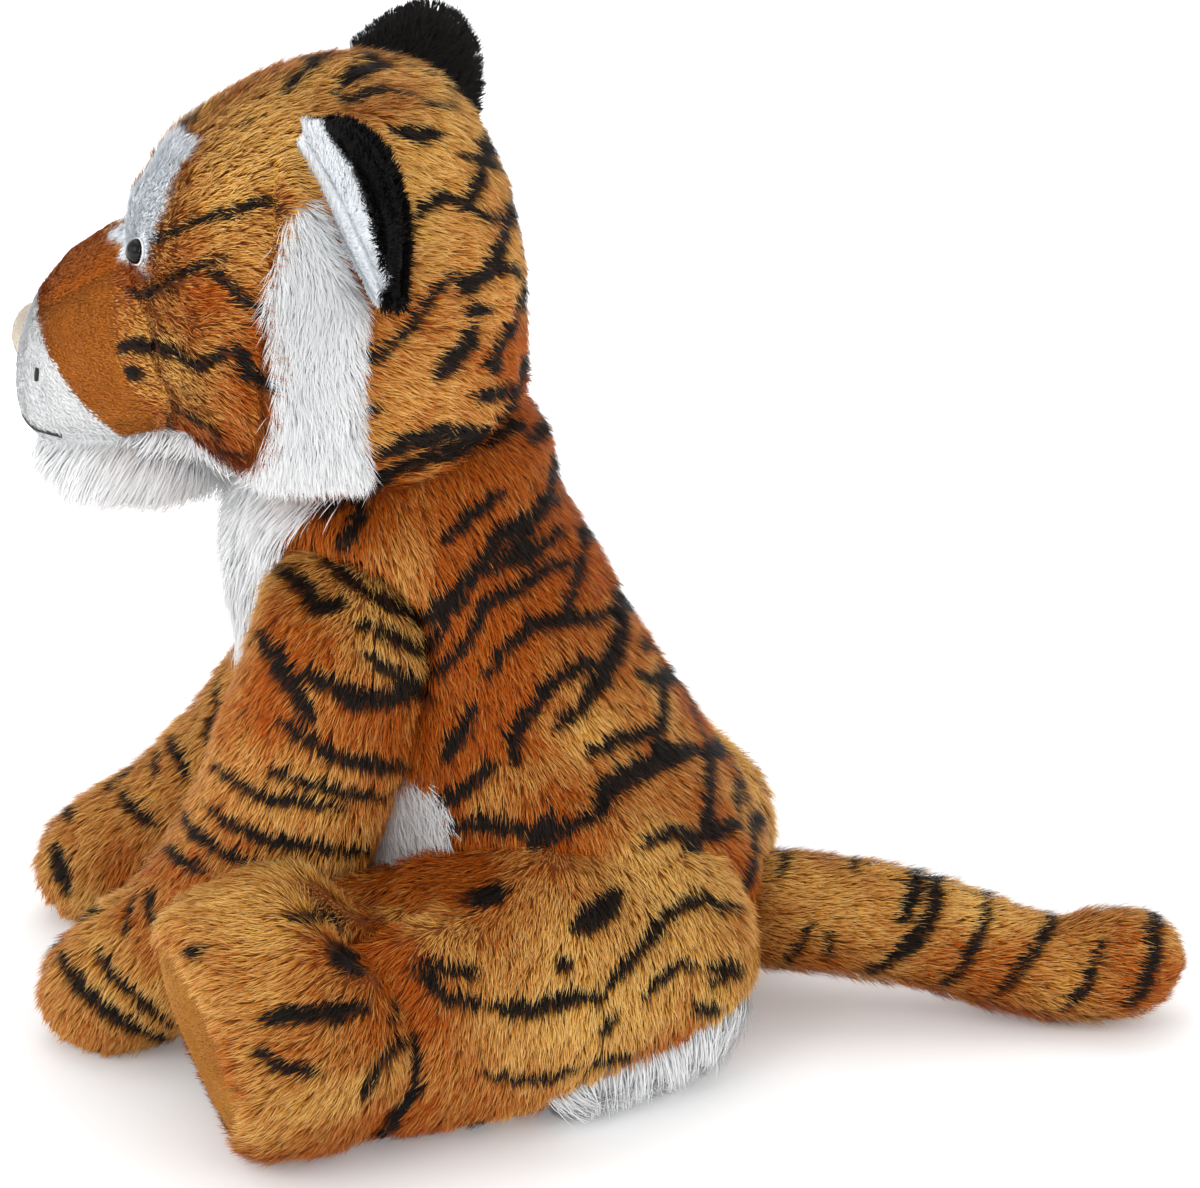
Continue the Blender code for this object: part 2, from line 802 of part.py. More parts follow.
def thread(name, places):
    """A fine round thread through places, as a closed mesh."""
    curve = bpy.data.curves.new(name, "CURVE")
    curve.dimensions = "3D"
    curve.bevel_depth = threadRadius
    curve.bevel_resolution = 1
    curve.use_fill_caps = True
    spline = curve.splines.new("POLY")
    spline.points.add(len(places) - 1)
    for point, place in zip(spline.points, places):
        point.co = (*place, 1)
    item = bpy.data.objects.new(name, curve)
    cutters.objects.link(item)
    mesh = bpy.data.meshes.new_from_object(item.evaluated_get(bpy.context.evaluated_depsgraph_get()))
    bpy.data.objects.remove(item, do_unlink=True)
    work = bmesh.new()
    work.from_mesh(mesh)
    bmesh.ops.remove_doubles(work, verts=work.verts, dist=threadRadius * weldShare)
    bmesh.ops.recalc_face_normals(work, faces=work.faces)
    return fromWork(name, work)


def earEnds(extra=0.0):
    """The two ends of the left ear's base line, longer by extra at each end."""
    front, back = neck + earFront, neck + earBack
    along = (back - front).normalized()
    return front - along * extra, back + along * extra


def earAxes():
    """Along the base, out along the ear, and the way its cup faces."""
    front, back = earEnds()
    along = (back - front).normalized()
    lean = (earLean - along * earLean.dot(along)).normalized()
    facing = along.cross(lean)
    return along, lean, -facing if facing.y > 0 else facing


def earSlot(room):
    """The slit in the head for the ear's base: round the bead, then opening outward."""
    _, lean, facing = earAxes()
    start, end = earEnds(room + earBead * 2)
    slot = rod("ear_slot", start, end, earBead + room, slotSides)
    low = earLayer / 2 + room
    high = low + earHeight * math.tan(slotTurn)
    points = []
    for place in (start, end):
        for rise, half in ((0.0, low), (earHeight, high)):
            for sign in (-1, 1):
                points.append(place + lean * rise + facing * (half * sign - clearance / 2))
    faces = [(0, 1, 3, 2), (4, 6, 7, 5), (0, 4, 5, 1), (2, 3, 7, 6), (0, 2, 6, 4), (1, 5, 7, 3)]
    return join(slot, meshObject("wedge", points, faces))


def earTop(across):
    """The ear's height above its base line, by how far along it."""
    return earHeight * (1 - abs(across) ** earRoundness) ** 0.5


def earPoint(across, up, lift):
    """A point of the left ear's cupped sheet: across and up in shares, lift off the sheet."""
    front, back = earEnds()
    along, lean, facing = earAxes()
    half = (back - front).length / 2
    widen = 1 + (earSpanShare - 1) * math.sin(math.pi * min(up, 1))
    cup = earCup * (1 - across**2) * math.sin(math.pi / 2 * up) ** 2
    place = (front + back) / 2 + along * (across * half * widen) + lean * (up * earTop(across))
    return place - facing * (cup - lift)


def earOuter(low, high):
    """The ear's outer layer, with the bead along its base that sits in the slit."""
    columns, rows = earSteps
    _, lean, facing = earAxes()
    rings = []
    for i in range(columns + 1):
        across = earEdgeShare * (1 - 2 * i / columns)
        start = beadNeckShare * earBead / earTop(across)
        rises = [start + (1 - start) * j / rows for j in range(rows + 1)]
        middle = earPoint(across, 0, 0)
        reach = earBead * (1 - beadTaperShare * across**2)
        ring = []
        for j in range(beadCount):
            turn = beadTurns[0] + (beadTurns[1] - beadTurns[0]) * j / (beadCount - 1)
            ring.append(middle + (lean * math.cos(turn) + facing * math.sin(turn)) * reach)
        ring += [earPoint(across, up, low) for up in rises]
        ring += [earPoint(across, up, high) for up in reversed(rises)]
        rings.append(ring)
    ends = [earPoint(side * earEdgeShare, 0, (low + high) / 2) for side in (1, -1)]
    return loft("ear_back", rings, *ends)


def earInner(low, high):
    """The ear's lining, which starts clear of the bead."""
    columns, rows = earSteps
    start = 2 * (earBead + clearance) / earHeight
    rings = []
    for i in range(columns + 1):
        across = innerEarShare * earEdgeShare * (2 * i / columns - 1)
        rises = [start + (innerEarShare - start) * j / rows for j in range(rows + 1)]
        ring = [earPoint(across, up, high) for up in reversed(rises)]
        rings.append(ring + [earPoint(across, up, low) for up in rises])
    middle = (start + innerEarShare) / 2
    ends = [earPoint(side * innerEarShare * earEdgeShare, middle, (low + high) / 2) for side in (-1, 1)]
    return loft("ear_inner", rings, *ends)


def makeEars(head):
    half = clearance / 2
    back = earOuter(-half - earLayer, -half)
    inner = earInner(half, half + earLayer)
    twins = (mirrored(back, "twin"), mirrored(inner, "twin"))
    front, rear = earEnds()
    base = (front + rear) / 2
    for name, side, (outside, inside) in (("left", 1, (back, inner)), ("right", -1, twins)):
        joint = pivot("ear_joint_" + name, Vector((side * base.x, base.y, base.z)), head)
        finish(outside, "ear_back_" + name, black, plush, joint)
        finish(inside, "ear_inner_" + name, white, plush, joint)


def makeArm(side, name):
    shoulder = shoulderMiddle(side)
    joint = pivot("shoulder_joint_" + name, shoulder)
    inner = Vector((side * (flankWidth - overrun), *shoulder.yz))

    def form(inset, count):
        return armForm(side, inset, count)

    opening = rod("arm_opening", inner, shoulder, smallOpening)
    cover, stuffing = coverAndStuffing("arm", form, limbSides, opening)
    finish(cover, f"arm_{name}_cover", orange, plush, joint)
    finish(stuffing, f"arm_{name}_stuffing", filling, plush, joint)


def makeLegs():
    opening = rod("leg_opening", zAxis * legRadius, Vector((hipSpread, hipSet, legRadius)), smallOpening)
    cover, stuffing = coverAndStuffing("leg", legForm, limbSides, opening)
    pieces = [("cover", cover, orange), ("stuffing", stuffing, filling), ("sole", makeSole(cover), tan)]
    joints = {name: pivot("hip_joint_" + name, hipMiddle(side)) for name, side in sides}
    for kind, piece, colour in pieces:
        twin = mirrored(piece, "twin")
        finish(piece, f"leg_left_{kind}", colour, plush, joints["left"])
        finish(twin, f"leg_right_{kind}", colour, plush, joints["right"])


def makeSole(cover):
    """The short-pile sole sewn into the left foot's front."""
    ends = [legPlace(*row[:3]) for row in legShares[-2:]]
    along = (ends[1] - ends[0]).normalized()
    radius = legRadius * legShares[-1][4] * soleShare
    sole = untrimmedLeg(0.0, limbSides)
    within(sole, rod("sole_zone", ends[1], ends[1] + along * overrun, radius - clearance / 2))
    cut(sole, untrimmedLeg(clothWall, limbSides // 2))
    cut(cover, rod("sole_hole", ends[1], ends[1] + along * overrun, radius + clearance / 2))
    return sole


def makeTail():
    joint = pivot("tail_joint", tailMiddle())
    opening = rod("tail_opening", tailMiddle() - yAxis * overrun, tailMiddle(), smallOpening)
    cover, stuffing = coverAndStuffing("tail", tailForm, tailSides, opening)
    finish(cover, "tail_cover", orange, plush, joint)
    finish(stuffing, "tail_stuffing", filling, plush, joint)


clearScene()
tiger = newCollection("Plush tiger")
cutters = newCollection("Cutters")
makeBody()
headJoint = pivot("neck_joint", neck)
makeHead(headJoint)
makeEars(headJoint)
for name, side in sides:
    makeArm(side, name)
makeLegs()
makeTail()
for leftover in list(cutters.objects):
    bpy.data.objects.remove(leftover, do_unlink=True)
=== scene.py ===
import math

import bmesh
import bpy
import numpy as np
from mathutils import Matrix, Vector, noise
from mathutils.bvhtree import BVHTree
from mathutils.kdtree import KDTree


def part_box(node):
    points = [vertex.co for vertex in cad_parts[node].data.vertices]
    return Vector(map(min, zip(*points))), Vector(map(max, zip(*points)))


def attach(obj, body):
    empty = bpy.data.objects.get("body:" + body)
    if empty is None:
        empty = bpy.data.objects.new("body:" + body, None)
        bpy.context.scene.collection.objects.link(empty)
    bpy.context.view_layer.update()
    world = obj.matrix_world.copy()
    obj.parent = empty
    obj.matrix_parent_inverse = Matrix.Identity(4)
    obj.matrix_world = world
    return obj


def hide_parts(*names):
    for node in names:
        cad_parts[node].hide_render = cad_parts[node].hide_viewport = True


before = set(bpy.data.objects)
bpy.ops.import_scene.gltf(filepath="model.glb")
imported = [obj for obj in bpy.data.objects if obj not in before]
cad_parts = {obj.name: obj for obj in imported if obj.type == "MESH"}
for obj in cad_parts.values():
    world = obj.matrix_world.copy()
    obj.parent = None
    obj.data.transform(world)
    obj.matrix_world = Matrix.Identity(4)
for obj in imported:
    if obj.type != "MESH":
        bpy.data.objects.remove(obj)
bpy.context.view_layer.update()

photo = {"wide": 1200, "high": 1188}
shot = {"azimuth": 96, "elevation": 22, "away": 1.6, "lens": 137, "sensor": 36, "target": (0, 0, 0.157)}
light = {
    "world": 0.97, "key": 10, "fill": 7, "top": 7, "front": 6,
    "floor": (0.93, 0.93, 0.93), "glow": (0.12, 1.1),
}

# Each skin is the CAD forms with their facets rounded off, by rounds of smoothing on a mesh of that cell.
# Areas are the cloths sewn into it
skins = {
    "body": {
        "areas": {"coat": ("body_cover",), "bib": ("bib",), "belly": ("belly_panel",)},
        "inside": ("body_stuffing",), "cell": 0.0019, "rounds": 14,
    },
    "head": {
        "areas": {
            "coat": ("head_cover",),
            "snout": ("snout_side_left", "snout_side_right"),
            "bridge": ("snout_bridge",),
            "muzzle": ("muzzle_left", "muzzle_right"),
            "jaw": ("jaw_panel", "chin_tuft"),
            "brow": ("brow_patch_left", "brow_patch_right"),
            "ruff": ("cheek_ruff_left", "cheek_ruff_right"),
        },
        "inside": ("head_stuffing",), "cell": 0.0015, "rounds": 10,
    },
    "tail": {"areas": {"coat": ("tail_cover",)}, "inside": ("tail_stuffing",), "cell": 0.0016, "rounds": 12},
}
for side in ("left", "right"):
    skins["arm_" + side] = {
        "areas": {"coat": ("arm_" + side + "_cover",)},
        "inside": ("arm_" + side + "_stuffing",), "cell": 0.0018, "rounds": 36,
    }
    skins["leg_" + side] = {
        "areas": {"coat": ("leg_" + side + "_cover",), "sole": ("leg_" + side + "_sole",)},
        "inside": ("leg_" + side + "_stuffing",), "cell": 0.0018, "rounds": 40,
    }
    skins["ear_" + side] = {
        "areas": {"back": ("ear_back_" + side,), "inner": ("ear_inner_" + side,)},
        "inside": (), "cell": 0.0011, "rounds": 5,
    }

# Piles: strands for each square millimetre, then length, width and the size of tufts in metres. Lift is how
# steeply a strand leaves the cloth, clump how far tufts draw together, and stray how untidy they are
piles = {
    "coat": {
        "thick": 1.9, "length": 0.0074, "width": 0.00041, "lift": 0.52, "clump": 0.50, "cell": 0.0056,
        "stray": 0.30, "strand": "short",
    },
    "long": {
        "thick": 2.1, "length": 0.0145, "width": 0.00040, "lift": 0.42, "clump": 0.42, "cell": 0.0070,
        "stray": 0.26, "strand": "long",
    },
    "fluff": {
        "thick": 3.4, "length": 0.0100, "width": 0.00032, "lift": 0.52, "clump": 0.55, "cell": 0.0062,
        "stray": 0.42, "strand": "short",
    },
    "velour": {
        "thick": 5.0, "length": 0.0022, "width": 0.00040, "lift": 0.42, "clump": 0.15, "cell": 0.0030,
        "stray": 0.30, "strand": "short",
    },
    "fuzz": {
        "thick": 3.2, "length": 0.0062, "width": 0.00040, "lift": 0.80, "clump": 0.45, "cell": 0.0045,
        "stray": 0.35, "strand": "short",
    },
}

# Stripes as they lie in the photograph: the width and then the places it runs through, all in pixels
stripes = {
    "cheek": (
        (9, 156, 240, 202, 222, 242, 210, 270, 200, 286, 210),
        (8, 128, 289, 145, 296, 166, 286, 199, 268, 227, 258), (11, 212, 273, 230, 284, 245, 299, 273, 317),
        (13, 117, 352, 138, 345, 179, 350, 199, 365, 230, 353), (16, 137, 372, 143, 376),
        (18, 237, 345, 250, 370, 276, 388), (8, 176, 406, 194, 416, 217, 427, 224, 439),
        (7, 176, 409, 176, 434), (10, 217, 444, 245, 452, 258, 457),
    ),
    "brow": ((20, 180, 138, 188, 130, 195, 121), (9, 245, 126, 249, 124), (8, 263, 121, 267, 119)),
    "crown": (
        (12, 289, 94, 299, 80, 319, 64, 338, 53), (8, 242, 83, 289, 63),
        (7, 332, 94, 348, 106, 364, 100, 383, 94, 409, 100, 434, 110, 450, 106),
        (15, 345, 91, 364, 72, 387, 68), (13, 391, 131, 413, 137, 436, 135),
        (9, 456, 158, 479, 160, 498, 175), (9, 403, 233, 414, 214, 437, 196, 452, 204, 479, 217, 504, 219),
        (8, 485, 245, 499, 243), (10, 450, 279, 468, 284, 491, 269, 506, 271, 527, 275),
        (7, 364, 363, 387, 344, 414, 317, 429, 294, 449, 275), (8, 456, 311, 487, 311),
        (8, 506, 307, 525, 307), (20, 471, 332, 452, 353, 433, 374), (9, 479, 367, 498, 363),
        (10, 472, 397, 506, 386), (9, 510, 378, 533, 393), (6, 364, 409, 380, 403),
    ),
    "nape": (
        (17, 372, 455, 407, 439, 441, 432, 472, 428, 518, 428), (11, 521, 443, 544, 428),
        (15, 323, 516, 359, 490, 399, 463, 459, 443, 498, 440), (9, 343, 546, 359, 526, 366, 503),
        (10, 439, 543, 465, 516, 498, 490),
        (12, 558, 496, 528, 513, 492, 533, 482, 559, 452, 589, 432, 609, 402, 619),
        (9, 558, 529, 532, 549, 508, 566),
        (10, 565, 563, 545, 566, 518, 586, 482, 602, 475, 619, 455, 652, 432, 675),
    ),
    "shoulder": (
        (10, 323, 563, 349, 586, 386, 606, 412, 619, 432, 612, 465, 599),
        (15, 283, 572, 306, 589, 319, 609, 343, 606), (9, 356, 626, 386, 635, 412, 649, 429, 645, 445, 622),
        (9, 363, 655, 386, 669, 412, 682, 432, 699), (16, 309, 672, 333, 685, 359, 699, 386, 695, 426, 689),
        (16, 263, 632, 280, 659, 296, 685, 313, 715), (11, 283, 718, 306, 735, 333, 752, 366, 762, 412, 765),
        (9, 220, 765, 243, 781, 266, 795, 306, 798, 346, 805), (9, 273, 768, 306, 778, 343, 788, 382, 795),
        (10, 213, 805, 233, 821, 266, 834, 309, 841, 366, 851), (10, 185, 810, 201, 832, 227, 848, 259, 861),
        (9, 172, 848, 191, 861, 211, 868), (9, 275, 868, 308, 874, 337, 891), (13, 153, 895, 158, 925),
    ),
    "flank": (
        (10, 625, 602, 598, 616, 565, 619, 525, 626, 499, 652, 485, 675),
        (10, 615, 662, 578, 665, 548, 682, 532, 705, 512, 732, 515, 765), (9, 475, 702, 462, 728, 442, 758),
        (9, 495, 762, 472, 781, 435, 808), (9, 586, 754, 621, 738, 657, 728),
        (20, 598, 813, 605, 789, 637, 770, 677, 754, 692, 750), (9, 598, 813, 565, 827, 532, 841, 552, 811),
        (10, 445, 825, 485, 821, 532, 831), (8, 633, 651, 653, 639, 661, 635),
        (10, 631, 677, 653, 682, 669, 671, 663, 657), (9, 619, 592, 623, 592), (10, 690, 708, 694, 712),
        (10, 710, 728, 714, 732), (10, 720, 752, 724, 756), (7, 658, 655, 658, 639),
    ),
    "haunch": (
        (9, 732, 781, 732, 813), (15, 704, 837, 736, 825), (8, 633, 852, 645, 839, 669, 833, 704, 837),
        (9, 594, 1003, 613, 975, 633, 955, 657, 924, 677, 906, 700, 900, 716, 910, 736, 910),
        (7, 641, 997, 661, 975, 681, 961, 692, 967), (7, 704, 967, 736, 963), (7, 704, 981, 740, 969),
        (9, 688, 1005, 716, 1007), (22, 578, 928, 617, 896), (10, 561, 960, 566, 966),
        (15, 465, 905, 505, 891), (9, 412, 967, 447, 997, 495, 1005),
        (13, 495, 1005, 530, 1007, 574, 995, 598, 995), (9, 479, 1068, 515, 1074, 546, 1074, 574, 1062),
        (7, 590, 1060, 629, 1050), (12, 451, 1129, 471, 1117, 503, 1113), (9, 615, 1011, 599, 1030),
        (8, 416, 958, 437, 968, 478, 974),
    ),
    "foot": (
        (9, 175, 904, 201, 887, 227, 878), (8, 191, 949, 207, 955), (9, 285, 920, 311, 920, 337, 926),
        (22, 332, 960, 355, 967), (14, 266, 1020, 292, 1014, 324, 1014, 363, 1007),
        (10, 259, 1049, 279, 1065, 317, 1069), (8, 392, 997, 385, 1023),
        (8, 415, 1030, 382, 1052, 360, 1095), (9, 415, 1030, 418, 1082, 389, 1127, 340, 1163),
    ),
    "farArm": (
        (9, 175, 738, 181, 758, 191, 777), (8, 159, 751, 159, 780), (9, 139, 764, 110, 793),
        (9, 123, 793, 139, 813, 162, 826), (8, 71, 803, 75, 823), (20, 60, 850, 70, 890),
        (9, 220, 686, 223, 712, 207, 738),
    ),
    "paw": (
        (15, 65, 955, 84, 985, 110, 1007, 146, 1027, 168, 1036),
        (10, 100, 952, 120, 978, 143, 997, 168, 1020), (8, 45, 933, 42, 965), (7, 79, 905, 83, 909),
        (9, 139, 894, 130, 933),
    ),
    "tail": (
        (16, 916, 870, 913, 896, 901, 923), (17, 934, 876, 934, 905, 922, 931, 901, 952, 869, 967),
        (10, 982, 893, 983, 923, 972, 946, 960, 970, 936, 984),
        (10, 1051, 905, 1051, 929, 1033, 952, 1010, 978, 986, 996),
        (10, 1102, 943, 1092, 970, 1080, 993, 1063, 1003),
        (16, 1151, 896, 1151, 929, 1151, 952, 1142, 981, 1127, 1002), (8, 1168, 905, 1171, 937),
        (8, 1114, 893, 1118, 914), (9, 810, 923, 799, 943, 778, 964), (8, 831, 931, 825, 958),
        (9, 853, 855, 853, 876), (8, 787, 846, 778, 879),
    ),
}

# Stripes across the back, which the photograph doesn't show: height, reach to the side, drop and half width
backStripes = (
    (0.318, 0.034, 0.012, 0.0042), (0.296, 0.046, 0.016, 0.0046), (0.268, 0.040, 0.014, 0.0040),
    (0.242, 0.048, 0.018, 0.0046), (0.205, 0.050, 0.022, 0.0044), (0.180, 0.038, 0.018, 0.0036),
    (0.154, 0.056, 0.024, 0.0048), (0.126, 0.044, 0.018, 0.0038), (0.098, 0.060, 0.022, 0.0046),
    (0.070, 0.044, 0.012, 0.0036),
)

# Folds of the stuffed cloth: the skin, how deep, how wide, the way that the cloth goes, with None for
# straight in, and the places in the photograph that the fold runs through
folds = (
    (
        "leg_left", 0.0075, 0.0075, None,
        (361, 938, 393, 965, 408, 1000, 417, 1037, 417, 1070, 409, 1100, 380, 1132, 338, 1159),
    ),
    ("leg_left", 0.0250, 0.0120, (0, 0, -1), (350, 896, 375, 888, 398, 880)),
    ("leg_left", 0.0250, 0.0120, (0, 0, -1), (356, 863, 376, 860, 398, 858)),
    ("leg_left", 0.0060, 0.0160, (0, 0, -1), (430, 874, 460, 872)),
    ("head", 0.0010, 0.0024, None, (36, 312, 60, 298, 85, 284, 107, 271)),
)

# Where the stuffing swells the cloth: the skin, a place in the photograph, the way, how far and how wide
swells = (
    ("body", 560, 830, (1, 0, 0), 0.011, 0.024),
    ("body", 650, 835, (1, 0, 0), 0.014, 0.028),
    ("body", 730, 845, (1, 0.2, 0), 0.011, 0.024),
    ("leg_left", 560, 868, (-1, 0, 0.3), 0.005, 0.030),
    ("leg_left", 680, 876, (-1, 0, 0.3), 0.006, 0.030),
    ("body", 310, 535, (1, -0.3, 0.2), 0.009, 0.018),
    ("body", 365, 535, (1, 0, 0.2), 0.010, 0.022),
    ("body", 430, 570, (1, 0, 0.2), 0.009, 0.024),
    ("arm_left", 320, 570, (-1, 0, 0.1), 0.010, 0.022),
    ("arm_left", 390, 590, (-1, 0, 0.1), 0.009, 0.022),
    ("arm_left", 240, 625, (0, 1, 0), 0.006, 0.028),
    ("leg_left", 228, 1128, (0, 1, 0.4), 0.010, 0.020),
    ("leg_left", 176, 965, (0, -1, 0), 0.004, 0.026),
)
chestHeights = (0.130, 0.155, 0.180)
chestSwell = {"out": 0.008, "wide": 0.030}

# White fur shows in the gap between arm and leg, as an outline in the photograph
gapOutline = ((330, 960), (345, 850), (385, 790), (415, 775), (445, 800), (450, 860), (430, 930), (400, 985))
fringeOutline = (
    (540, 1120), (548, 1092), (600, 1070), (660, 1042), (710, 1018), (745, 985), (800, 985), (780, 1150),
    (540, 1180),
)

# The long white ruff below the ear
ruffOutline = (
    (322, 205), (300, 200), (288, 217), (280, 245), (274, 275), (271, 305), (273, 336), (280, 375),
    (275, 420), (265, 455), (250, 466), (255, 510), (380, 510), (376, 463), (362, 420), (359, 367),
    (359, 330), (362, 298), (385, 300), (390, 250), (360, 215),
)

# The near ear's white lining and the white patch over the eye
liningOutline = ((250, 150), (262, 110), (308, 106), (353, 170), (388, 275), (376, 312), (350, 306))
browOutline = (
    (166, 126), (197, 146), (178, 172), (165, 207), (155, 243), (146, 262), (118, 264), (108, 240),
    (100, 200), (120, 150),
)

# The seam between the nose bridge and the side of the snout, and the bridge above it
bridgeOutline = (
    (10, 312), (35, 313), (60, 298), (85, 284), (107, 271), (120, 262), (118, 235), (95, 215), (60, 230),
    (10, 290),
)
stitchEnds = {"whisker": (38, 374), "mouth": (62, 434)}

# Painted highlights and painted shade: where the photograph shows the fur golden, or with a minus deeper
# red, as light and shade fall on it: place, how wide, how much
lightAndShadeSpots = (
    (238, 162, 48, 0.42), (280, 165, 34, 0.36), (392, 545, 46, 0.46), (430, 480, 34, 0.24),
    (455, 215, 48, 0.26), (425, 130, 40, 0.20), (500, 160, 34, 0.14), (400, 400, 44, -0.20),
    (240, 440, 40, -0.34), (215, 400, 38, -0.22), (185, 300, 44, -0.08), (235, 330, 36, -0.08),
    (345, 515, 26, -0.28), (450, 720, 48, -0.26), (500, 640, 50, -0.20), (480, 890, 62, -0.50),
    (560, 850, 50, -0.30), (405, 960, 40, -0.30), (620, 910, 40, -0.10), (250, 965, 46, -0.30),
    (340, 1000, 34, -0.10), (230, 890, 28, 0.20), (270, 1085, 40, 0.34), (330, 1090, 40, 0.30),
    (440, 1060, 44, 0.26), (520, 1040, 44, 0.36), (620, 1010, 50, 0.40), (700, 960, 50, 0.38),
    (690, 860, 40, 0.28), (590, 745, 46, 0.26), (640, 690, 40, 0.16), (980, 935, 60, 0.18),
    (870, 900, 60, 0.14), (140, 1000, 44, 0.36), (100, 930, 34, -0.20), (60, 850, 40, -0.20),
    (130, 790, 44, -0.26), (330, 760, 44, -0.18), (250, 770, 40, 0.10), (300, 880, 30, 0.16),
    (560, 560, 44, -0.20), (180, 340, 30, 0.10), (150, 330, 30, 0.12), (280, 830, 34, 0.12),
    (240, 700, 40, -0.16), (540, 480, 30, -0.20), (520, 370, 40, -0.20), (300, 660, 40, -0.20),
    (360, 640, 40, -0.10),
)

# Strands stay this far above the floor
floorGap = 0.0004

# Pile lies over a stripe's edges, so each side is laid wider by this many pixels, and all of it further up
# the pile by the lean
stripeSpread = {
    "cheek": 1.6, "brow": 1.6, "crown": 3.2, "nape": 4.2, "shoulder": 3.6, "flank": 4.4, "haunch": 3.2,
    "foot": 2.6, "farArm": 3.0, "paw": 2.6, "tail": 1.2,
}
stripeLean = 0.0032
stripeEdge = 0.0015
pixelStep = {"stripe": 3.0, "fold": 8.0}

# The eye's dome sits this much deeper and is this share of the CAD dome's width, as the pile hides its rim
eyeLift = -0.0004
eyeShare = 0.86

# Vertices nearer than this are one
weld = 1e-6


# A ray from the camera through a pixel of the photograph
def pixelRay(x, y):
    scale = shot["sensor"] / shot["lens"] / photo["wide"]
    across, up = (x - photo["wide"] / 2) * scale, (photo["high"] / 2 - y) * scale
    turn = cameraTurn()
    return cameraPlace(), (turn @ Vector((across, up, -1))).normalized()


def cameraBack():
    a, e = math.radians(shot["azimuth"]), math.radians(shot["elevation"])
    return Vector((math.sin(a) * math.cos(e), -math.cos(a) * math.cos(e), math.sin(e)))


def cameraPlace():
    return Vector(shot["target"]) + cameraBack() * shot["away"]


def cameraTurn():
    return (-cameraBack()).to_track_quat("-Z", "Y")


def makeCamera():
    data = bpy.data.cameras.new("camera")
    data.lens, data.sensor_width = shot["lens"], shot["sensor"]
    camera = bpy.data.objects.new("camera", data)
    camera.location = cameraPlace()
    camera.rotation_mode = "QUATERNION"
    camera.rotation_quaternion = cameraTurn()
    bpy.context.scene.collection.objects.link(camera)
    bpy.context.scene.camera = camera


def makeLight(name, place, size, power):
    data = bpy.data.lights.new(name, "AREA")
    data.shape, data.size, data.energy = "DISK", size, power
    lamp = bpy.data.objects.new(name, data)
    lamp.location = place
    lamp.rotation_mode = "QUATERNION"
    lamp.rotation_quaternion = (Vector(shot["target"]) - Vector(place)).to_track_quat("-Z", "Y")
    bpy.context.scene.collection.objects.link(lamp)


def makeStudio():
    scene = bpy.context.scene
    scene.view_settings.view_transform = "Standard"
    world = bpy.data.worlds.new("studio")
    scene.world = world
    world.use_nodes = True
    tree = world.node_tree
    tree.nodes.clear()
    out = tree.nodes.new("ShaderNodeOutputWorld")
    mix = tree.nodes.new("ShaderNodeMixShader")
    room, sight = tree.nodes.new("ShaderNodeBackground"), tree.nodes.new("ShaderNodeBackground")
    room.inputs["Strength"].default_value = light["world"]
    room.inputs["Color"].default_value = sight.inputs["Color"].default_value = (1, 1, 1, 1)
    path = tree.nodes.new("ShaderNodeLightPath")
    seen = path.outputs["Is Camera Ray"]
    for ray in ("Is Glossy Ray", "Is Transmission Ray"):
        most = tree.nodes.new("ShaderNodeMath")
        most.operation = "MAXIMUM"
        tree.links.new(seen, most.inputs[0])
        tree.links.new(path.outputs[ray], most.inputs[1])
        seen = most.outputs[0]
    tree.links.new(seen, mix.inputs[0])
    tree.links.new(room.outputs[0], mix.inputs[1])
    tree.links.new(sight.outputs[0], mix.inputs[2])
    tree.links.new(mix.outputs[0], out.inputs[0])
    makeLight("key", (1.6, -1.1, 1.5), 1.4, light["key"])
    makeLight("fill", (1.3, 1.5, 0.9), 1.6, light["fill"])
    makeLight("top", (-0.5, -0.3, 1.9), 1.6, light["top"])
    makeLight("front", (0.7, -1.9, 0.8), 1.6, light["front"])
    bpy.ops.mesh.primitive_plane_add(size=40)
    floor = bpy.context.object
    floor.name = "floor"
    made, shader = newMaterial("floor", light["floor"], 0.9)
    shader.inputs["Specular IOR Level"].default_value = 0.1
    shader.inputs["Emission Color"].default_value = (1, 1, 1, 1)
    tree = made.node_tree
    at = addNode(tree, "ShaderNodeTexCoord")
    away = addNode(tree, "ShaderNodeVectorMath", operation="LENGTH")
    tree.links.new(at.outputs["Object"], away.inputs[0])
    glow = addNode(tree, "ShaderNodeMapRange")
    near, far = light["glow"]
    feed(tree, glow, Value=away.outputs["Value"], From_Min=0.25, From_Max=1.1, To_Min=near, To_Max=far)
    tree.links.new(glow.outputs[0], shader.inputs["Emission Strength"])
    floor.data.materials.append(made)


def newMaterial(name, colour, roughness):
    made = bpy.data.materials.new(name)
    made.use_nodes = True
    shader = made.node_tree.nodes["Principled BSDF"]
    shader.inputs["Base Color"].default_value = (*colour, 1)
    shader.inputs["Roughness"].default_value = roughness
    return made, shader


def addNode(tree, kind, **settings):
    node = tree.nodes.new(kind)
    for key, value in settings.items():
        setattr(node, key, value)
    return node


# The socket of that name that is in use, as some nodes keep one for each type of value
def socket(sockets, name):
    return next(s for s in sockets if s.name == name and s.enabled)


# Sets or links a node's inputs; a name's underscores stand for spaces
def feed(tree, node, **values):
    for key, value in values.items():
        target = socket(node.inputs, key.replace("_", " "))
        if isinstance(value, bpy.types.NodeSocket):
            tree.links.new(value, target)
        else:
            target.default_value = value


def maths(tree, operation, *values, vector=False):
    kind = "ShaderNodeVectorMath" if vector else "ShaderNodeMath"
    node = addNode(tree, kind, operation=operation)
    for value, target in zip(values, node.inputs):
        if isinstance(value, bpy.types.NodeSocket):
            tree.links.new(value, target)
        else:
            target.default_value = value
    return node.outputs[0]


